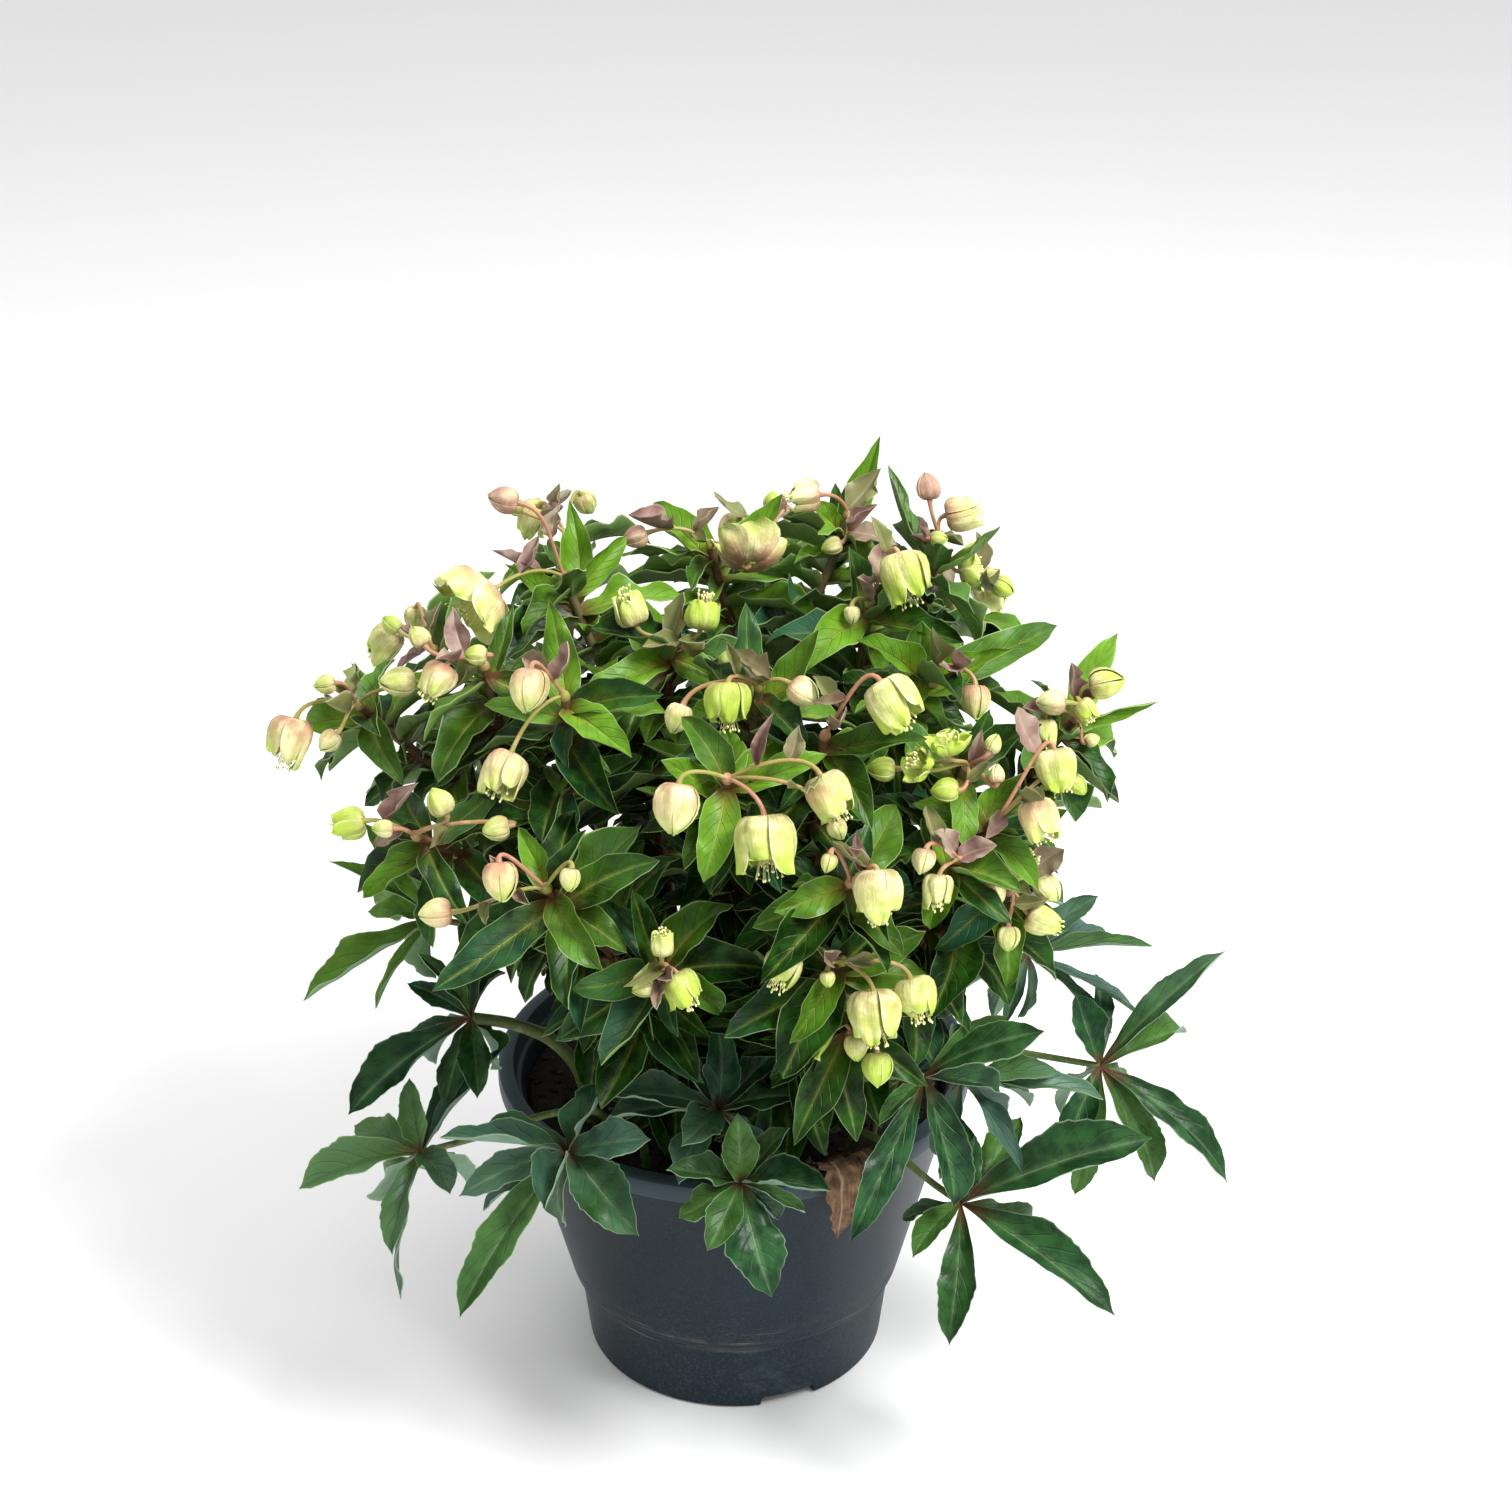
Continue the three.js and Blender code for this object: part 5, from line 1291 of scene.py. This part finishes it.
class Finish:
    """A material in the making, with short names for the nodes it is wired from."""

    def __init__(self, name, **sockets):
        self.material = bpy.data.materials.new(name)
        self.material.use_nodes = True
        self.tree = self.material.node_tree
        self.shader = self.tree.nodes["Principled BSDF"]
        for socket, value in sockets.items():
            self.shader.inputs[socket.replace("_", " ")].default_value = value

    def node(self, kind, inputs=(), **settings):
        made = self.tree.nodes.new(kind)
        for key, value in settings.items():
            setattr(made, key, value)
        for key, value in dict(inputs).items():
            if isinstance(value, bpy.types.NodeSocket):
                self.tree.links.new(value, made.inputs[key])
            else:
                made.inputs[key].default_value = value
        return made

    def calc(self, operation, a, b=0.0):
        return self.node("ShaderNodeMath", {0: a, 1: b}, operation=operation).outputs[0]

    def times(self, a, b):
        return self.calc("MULTIPLY", a, b)

    def plus(self, a, b):
        return self.calc("ADD", a, b)

    def minus(self, a, b):
        return self.calc("SUBTRACT", a, b)

    def step(self, value, low, high, start=0.0, end=1.0):
        """A soft step from start to end as value goes from low to high."""
        inputs = {0: value, 1: low, 2: high, 3: start, 4: end}
        return self.node("ShaderNodeMapRange", inputs, interpolation_type="SMOOTHSTEP").outputs[0]

    def fade(self, value, low, high, start=1.0):
        return self.step(value, low, high, start, 0.0)

    def mix(self, share, a, b):
        return self.node("ShaderNodeMix", {0: share, 6: a, 7: b}, data_type="RGBA").outputs[2]

    def between(self, share, low, high):
        return self.mix(share, tone_of(low), tone_of(high))

    def tint(self, base, share, code):
        """The base with a share of another colour over it."""
        return self.mix(share, base, tone_of(code))

    def place(self):
        return self.node("ShaderNodeTexCoord").outputs["Object"]

    def uv(self):
        return self.node("ShaderNodeUVMap", uv_map="run").outputs[0]

    def stretched(self, vector, scale):
        return self.node("ShaderNodeMapping", {"Vector": vector, "Scale": scale}).outputs[0]

    def parts(self, vector):
        return self.node("ShaderNodeSeparateXYZ", {0: vector}).outputs

    def run(self):
        """How far along, how far from the midrib (0 to 1), and across (0 to 1)."""
        along, across = self.parts(self.uv())[:2]
        return along, self.times(self.calc("ABSOLUTE", self.minus(across, 0.5)), 2.0), across

    def tone(self):
        colour = self.node("ShaderNodeAttribute", attribute_name="tone").outputs["Color"]
        return self.node("ShaderNodeSeparateColor", {0: colour}).outputs

    def noise(self, scale, detail=3.0, rough=0.5, at=None):
        inputs = {"Vector": at or self.place(), "Scale": scale, "Detail": detail, "Roughness": rough}
        return self.node("ShaderNodeTexNoise", inputs).outputs["Fac"]

    def wear(self, colour, roughness=None, height=None, strength=0.4, distance=0.0004):
        link = self.tree.links.new
        link(colour, self.shader.inputs["Base Color"])
        if roughness is not None:
            link(roughness, self.shader.inputs["Roughness"])
        if height is not None:
            bump = self.node("ShaderNodeBump", {"Height": height, "Strength": strength, "Distance": distance})
            link(bump.outputs[0], self.shader.inputs["Normal"])
        return self.material


# Tones of a blade. dark and mid: mottled. The blue-green tone after them: patches that are partly the leaf's
# own bloom and partly painted reflection of the pale sky on the gloss. bright: of the upper leaves, partly
# the paler colour of young leaves and partly painted light on the top of the bush. gold: beside the midrib
# near the foot. veins: how many
# to a side. gloss: the least roughness. patch: where blue sets in.
STEM_LEAF = {"dark": "#0d2606", "mid": "#255012", "blue_sheen_and_bloom": "#26523a", "bright": "#6b9a24", "gold": "#9a8a1e",
             "vein": "#a3b85c", "margin": "#b4c98a", "under": "#7c9a58", "veins": 7.0, "gloss": 0.3,
             "patch": (0.4, 0.62)}
BASAL_LEAF = {"dark": "#12301a", "mid": "#26502a", "blue_sheen_and_bloom": "#4d6a5f", "bright": "#648f2c", "gold": "#5d7a34",
              "vein": "#86a878", "margin": "#9db58a", "under": "#88a48c", "veins": 6.0, "gloss": 0.3,
              "patch": (0.25, 0.5)}
FOOT_BROWN = "#693a2a"


def vein_shares(f, tones, t, out, broad):
    """1 on the slanting side veins of a blade, which wander a little and end before the edge."""
    phase = f.minus(f.times(t, tones["veins"]), f.times(out, 1.9))
    wander = f.times(f.minus(broad, 0.5), 1.6)
    saw = f.calc("FRACT", f.plus(f.plus(phase, 4.0), wander))
    saw = f.calc("ABSOLUTE", f.minus(saw, 0.5))
    return f.times(f.fade(saw, 0.0, 0.1), f.fade(out, 0.6, 0.9))


def leaf_finish(name, tones):
    """Glossy green: blue-green patches that are partly the leaf's own bloom and partly painted reflection of
    the pale sky, a paler share that is partly young colour and partly painted light, a pale midrib, faint
    side veins, a thin pale edge, a brown foot, a dull under side.
    """
    f = Finish(name, Specular_IOR_Level=0.18)
    t, out, _ = f.run()
    blue_sheen_and_bloom, under_side, young_and_lit = f.tone()[:3]
    mottle = f.noise(95.0, 5.0, 0.6)
    broad = f.noise(22.0, 2.0)
    base = f.between(f.step(mottle, 0.36, 0.66), tones["dark"], tones["mid"])
    # Partly painted reflection: the blue-green patches stand for the pale sky mirrored on the gloss as well
    # as for the leaf's own bloom.
    blue_sheen_and_bloom_share = f.times(f.step(broad, *tones["patch"]), f.step(blue_sheen_and_bloom, 0.5, 1.0, 0.0, 0.85))
    base = f.tint(base, blue_sheen_and_bloom_share, tones["blue_sheen_and_bloom"])
    # Partly painted light: the tone's brightness share, high on upper stem leaves and low on the filling
    # leaves inside, lightens the blade.
    bright = f.times(f.step(young_and_lit, 0.1, 1.0), f.step(mottle, 0.25, 0.75, 0.6, 1.0))
    base = f.tint(base, bright, tones["bright"])
    flush = f.times(f.fade(t, 0.05, 0.6), f.step(out, 0.0, 0.6, 1.0, 0.15))
    flush = f.times(f.times(flush, f.step(mottle, 0.3, 0.65)), f.step(young_and_lit, 0.1, 0.8, 0.3, 0.8))
    base = f.tint(base, flush, tones["gold"])
    side_veins = vein_shares(f, tones, t, out, broad)
    midrib = f.times(f.fade(out, 0.01, 0.07), f.step(t, 0.3, 1.0, 1.0, 0.1))
    base = f.tint(base, f.times(side_veins, 0.06), tones["vein"])
    base = f.tint(base, f.times(f.fade(out, 0.0, 0.22), f.step(mottle, 0.3, 0.7, 0.12, 0.3)), tones["vein"])
    base = f.tint(base, f.times(midrib, 0.4), tones["vein"])
    margin = f.times(f.step(out, 0.95, 0.995), f.step(young_and_lit, 0.0, 0.5, 0.45, 0.7))
    base = f.tint(base, margin, tones["margin"])
    base = f.tint(base, f.fade(t, 0.0, 0.24, 0.8), FOOT_BROWN)
    under = f.tint(base, f.step(mottle, 0.3, 0.8, 0.75, 0.35), tones["under"])
    gloss = tones["gloss"]
    rough = f.plus(f.step(mottle, 0.2, 0.9, gloss, gloss + 0.16), f.times(under_side, 0.2))
    ribs = f.plus(side_veins, f.times(midrib, 1.3))
    height = f.minus(f.plus(f.times(f.noise(520.0, 2.0), 0.35), mottle), ribs)
    return f.wear(f.mix(under_side, base, under), rough, height, 0.6, 0.0006)


def stalk_finish(name, low, high, speck):
    """Between two tones by the stalk's own draw, with specks along it."""
    f = Finish(name, Specular_IOR_Level=0.4)
    grain = f.noise(160.0, 4.0)
    share = f.plus(f.tone()[0], f.times(f.minus(grain, 0.5), 0.9))
    base = f.between(f.step(share, 0.15, 0.85), low, high)
    base = f.tint(base, f.step(grain, 0.5, 0.72, 0.0, 0.6), speck)
    return f.wear(base, f.step(grain, 0.2, 0.8, 0.42, 0.6), f.noise(500.0, 3.0), 0.3, 0.0003)


def sepal_finish():
    """Cream, greener to the rim, streaked along the veins, with a salmon and mauve blush near the stalk."""
    f = Finish("sepal", Specular_IOR_Level=0.35, Subsurface_Weight=0.08)
    f.shader.inputs["Subsurface Radius"].default_value = (0.004, 0.003, 0.001)
    t, out, _ = f.run()
    pink, under_side, green = f.tone()[:3]
    cloud = f.noise(150.0, 3.0)
    patch = f.noise(70.0, 2.0)
    places = {0: f.stretched(f.uv(), (2.0, 15.0, 1.0)), 1: f.place()}
    streak = f.noise(1.6, 4.0, 0.6, f.node("ShaderNodeVectorMath", places, operation="ADD").outputs[0])
    lean = f.plus(f.times(f.minus(cloud, 0.5), 1.3), f.step(t, 0.2, 1.0, -0.1, 0.25))
    base = f.between(f.step(f.plus(green, lean), 0.05, 1.0), "#f0e9b2", "#b0cb44")
    base = f.tint(base, f.times(f.step(streak, 0.5, 0.72), 0.35), "#a9bb4a")
    base = f.tint(base, f.step(out, 0.75, 1.0, 0.0, 0.4), "#f5efc8")
    blush = f.times(f.fade(t, 0.12, 0.85), f.step(f.plus(patch, f.times(cloud, 0.4)), 0.47, 0.8))
    blush = f.times(blush, f.step(pink, 0.05, 0.9))
    base = f.tint(base, f.times(blush, 0.95), "#c97865")
    base = f.tint(base, f.times(f.step(pink, 0.87, 0.94), f.step(cloud, 0.3, 0.7, 0.55, 0.95)), "#b3877b")
    stain = f.times(f.fade(t, 0.05, 0.8), f.step(f.plus(streak, cloud), 0.82, 1.12))
    base = f.tint(base, f.times(stain, 0.8), "#86665a")
    base = f.tint(base, f.times(f.fade(t, 0.0, 0.28), f.step(pink, 0.1, 0.9, 0.3, 0.85)), "#a0604e")
    base = f.tint(base, f.times(under_side, 0.5), "#c2d465")
    height = f.plus(f.times(streak, 1.4), f.noise(420.0, 3.0))
    return f.wear(base, f.step(cloud, 0.2, 0.8, 0.42, 0.6), height, 0.6, 0.0005)


def mauve_finish():
    """Brown mauve, partly olive, with a pale midrib."""
    f = Finish("mauve bract", Specular_IOR_Level=0.4)
    t, out, _ = f.run()
    cloud = f.noise(110.0, 4.0)
    base = f.between(f.step(cloud, 0.35, 0.68), "#7a5a52", "#a68d80")
    base = f.tint(base, f.step(f.plus(f.tone()[0], f.times(cloud, 0.5)), 0.5, 1.1, 0.0, 0.9), "#6f7a3c")
    base = f.tint(base, f.fade(out, 0.0, 0.2, 0.4), "#bba893")
    base = f.tint(base, f.step(out, 0.9, 1.0, 0.0, 0.4), "#c2b2a2")
    base = f.tint(base, f.fade(t, 0.0, 0.3, 0.5), "#5c3a33")
    return f.wear(base, f.step(cloud, 0.2, 0.8, 0.42, 0.62), f.noise(500.0, 3.0), 0.4, 0.0004)


def thread_finish():
    f = Finish("stamens", Specular_IOR_Level=0.3, Roughness=0.6)
    base = f.between(f.tone()[0], "#d9dd8c", "#f1ecab")
    return f.wear(f.tint(base, f.step(f.noise(900.0), 0.4, 0.7, 0.0, 0.3), "#cdbf62"))


def pot_finish():
    """Dark plastic, scuffed above and below the foot band, dusty near the ground and paler at the lip."""
    f = Finish("pot plastic", Specular_IOR_Level=0.12)
    up = f.parts(f.place())[2]
    drift = f.noise(9.0, 4.0)
    base = f.between(f.step(drift, 0.3, 0.75), "#121c23", "#1e2c34")
    streak = f.noise(3.0, 5.0, 0.65, f.stretched(f.place(), (6.0, 6.0, 160.0)))
    near_band = f.times(f.step(up, 0.030, 0.040), f.fade(up, 0.046, 0.058))
    scuff = f.times(near_band, f.step(streak, 0.5, 0.68))
    base = f.tint(base, f.times(scuff, f.step(f.noise(30.0, 4.0), 0.42, 0.62, 0.0, 0.5)), "#8b8271")
    speckle = f.times(f.step(f.noise(700.0, 4.0, 0.7), 0.45, 0.75), f.step(up, 0.02, 0.09, 1.0, 0.35))
    base = f.tint(base, f.times(speckle, 0.4), "#4c5a62")
    dust = f.times(f.step(f.noise(38.0, 6.0, 0.7), 0.56, 0.8), f.step(up, 0.0, 0.06, 0.9, 0.25))
    base = f.tint(base, f.times(dust, 0.3), "#667073")
    base = f.tint(base, f.times(f.step(up, 0.1465, 0.149), 0.4), "#55656d")
    rough = f.plus(f.step(drift, 0.3, 0.8, 0.36, 0.5), f.times(scuff, 0.3))
    return f.wear(base, rough, f.plus(f.noise(420.0, 4.0), f.times(streak, 0.5)), 0.22, 0.0003)


def soil_finish(name, dark, light, speck):
    f = Finish(name, Specular_IOR_Level=0.2)
    grain = f.noise(260.0, 6.0, 0.7)
    base = f.between(f.step(grain, 0.35, 0.7), dark, light)
    base = f.tint(base, f.step(f.noise(45.0, 4.0), 0.58, 0.72, 0.0, 0.5), speck)
    return f.wear(base, f.step(grain, 0.2, 0.8, 0.8, 1.0), grain, 0.9, 0.001)


def withered_finish():
    """Brown, wrinkled lengthwise, with a paler midrib."""
    f = Finish("dried leaf", Specular_IOR_Level=0.2)
    _, out, across = f.run()
    grain = f.noise(180.0, 5.0)
    base = f.between(f.step(grain, 0.3, 0.7), "#4f3a2c", "#8a6c52")
    base = f.tint(base, f.fade(out, 0.0, 0.15, 0.6), "#b9a183")
    wrinkled = f.plus(grain, f.times(f.calc("SINE", f.times(across, 70.0)), 0.3))
    return f.wear(base, f.step(grain, 0.2, 0.8, 0.75, 0.95), wrinkled, 0.8, 0.0006)


# ---------- studio ----------

# focal and width: in pixels of the frame.
CAMERA = {"focal": 2660, "width": 1512, "sensor": 36, "place": (0.0107, -1.1043, 0.8569), "tilt": 64,
          "near": 0.05, "far": 60}
FLOOR = {"size": 14, "height": -0.0003, "tones": (0.9, 0.94)}
DAYLIGHT = 0.74
# Name, place, size and power of each lamp, which all face the aim.
LAMPS = [("key", (1.1, -0.8, 1.9), 0.7, 58), ("top", (-0.1, 0.5, 2.3), 1.2, 17)]
AIM = (0, 0, 0.24)


def hang(name, thing, at, turn):
    """Hangs a camera or lamp at a place, with its three turns in radians."""
    holder = linked(name, thing)
    holder.location, holder.rotation_euler = at, turn
    return holder


def set_camera():
    camera = bpy.data.cameras.new("camera")
    camera.lens = CAMERA["focal"] / CAMERA["width"] * CAMERA["sensor"]
    camera.sensor_width = CAMERA["sensor"]
    camera.clip_start, camera.clip_end = CAMERA["near"], CAMERA["far"]
    bpy.context.scene.camera = hang("camera", camera, CAMERA["place"], (math.radians(CAMERA["tilt"]), 0, 0))


def set_floor():
    bpy.ops.object.select_all(action="DESELECT")
    bpy.ops.mesh.primitive_plane_add(size=FLOOR["size"], location=(0, 0, FLOOR["height"]))
    floor = bpy.context.object
    floor.name = "floor"
    pale = Finish("floor", Specular_IOR_Level=0.2, Roughness=0.9)
    low, high = ((tone, tone, tone, 1) for tone in FLOOR["tones"])
    floor.data.materials.append(pale.wear(pale.mix(pale.noise(1.2, 2.0), low, high)))
    floor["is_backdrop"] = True


def set_lamps():
    world = bpy.data.worlds.new("studio")
    bpy.context.scene.world = world
    world.use_nodes = True
    sky = world.node_tree.nodes["Background"].inputs
    sky[0].default_value, sky[1].default_value = (1, 1, 1, 1), DAYLIGHT
    for name, at, size, power in LAMPS:
        lamp = bpy.data.lights.new(name, "AREA")
        lamp.size, lamp.energy = size, power
        x, y, z = np.array(AIM) - np.array(at)
        hang(name, lamp, at, (math.atan2(math.hypot(x, y), -z), 0, math.atan2(y, x) - math.pi / 2))


# ---------- the part ----------

bpy.context.scene.view_settings.view_transform = "Standard"
set_camera()
set_floor()
set_lamps()

kept, cymes, stems, fans = grow_plant()
for rule in FILLING:
    grow_filling(kept, stems, rule)
grow_more_leaflets(kept, fans)
grow_bractlets(kept, cymes)

of_stems = [leaf_finish("stem leaf", STEM_LEAF), stalk_finish("stem", "#5a5530", "#5f3c2d", "#7d6a42")]
of_fans = [leaf_finish("basal leaf", BASAL_LEAF), stalk_finish("petiole", "#4f6a34", "#6a6238", "#8f9f6a")]
of_cymes = [sepal_finish(), stalk_finish("bloom stalk", "#98924a", "#b07a60", "#c9b088"), mauve_finish(),
            thread_finish()]
of_soil = [soil_finish("soil", "#0d0a08", "#2a221b", "#3d3a30"),
           soil_finish("grit", "#4b463d", "#8a8574", "#6d7350")]

model_pot(pot_finish())
model_soil(of_soil)
dress_withered(withered_finish())
for stem in stems:
    dress_stem(stem, of_stems)
for fan in fans:
    dress_fan(fan, of_fans)
for cyme in cymes:
    dress_cyme(cyme, of_cymes)
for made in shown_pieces():
    if made.data.polygons and made.name != "nursery_pot":
        smooth(made, CREASE)
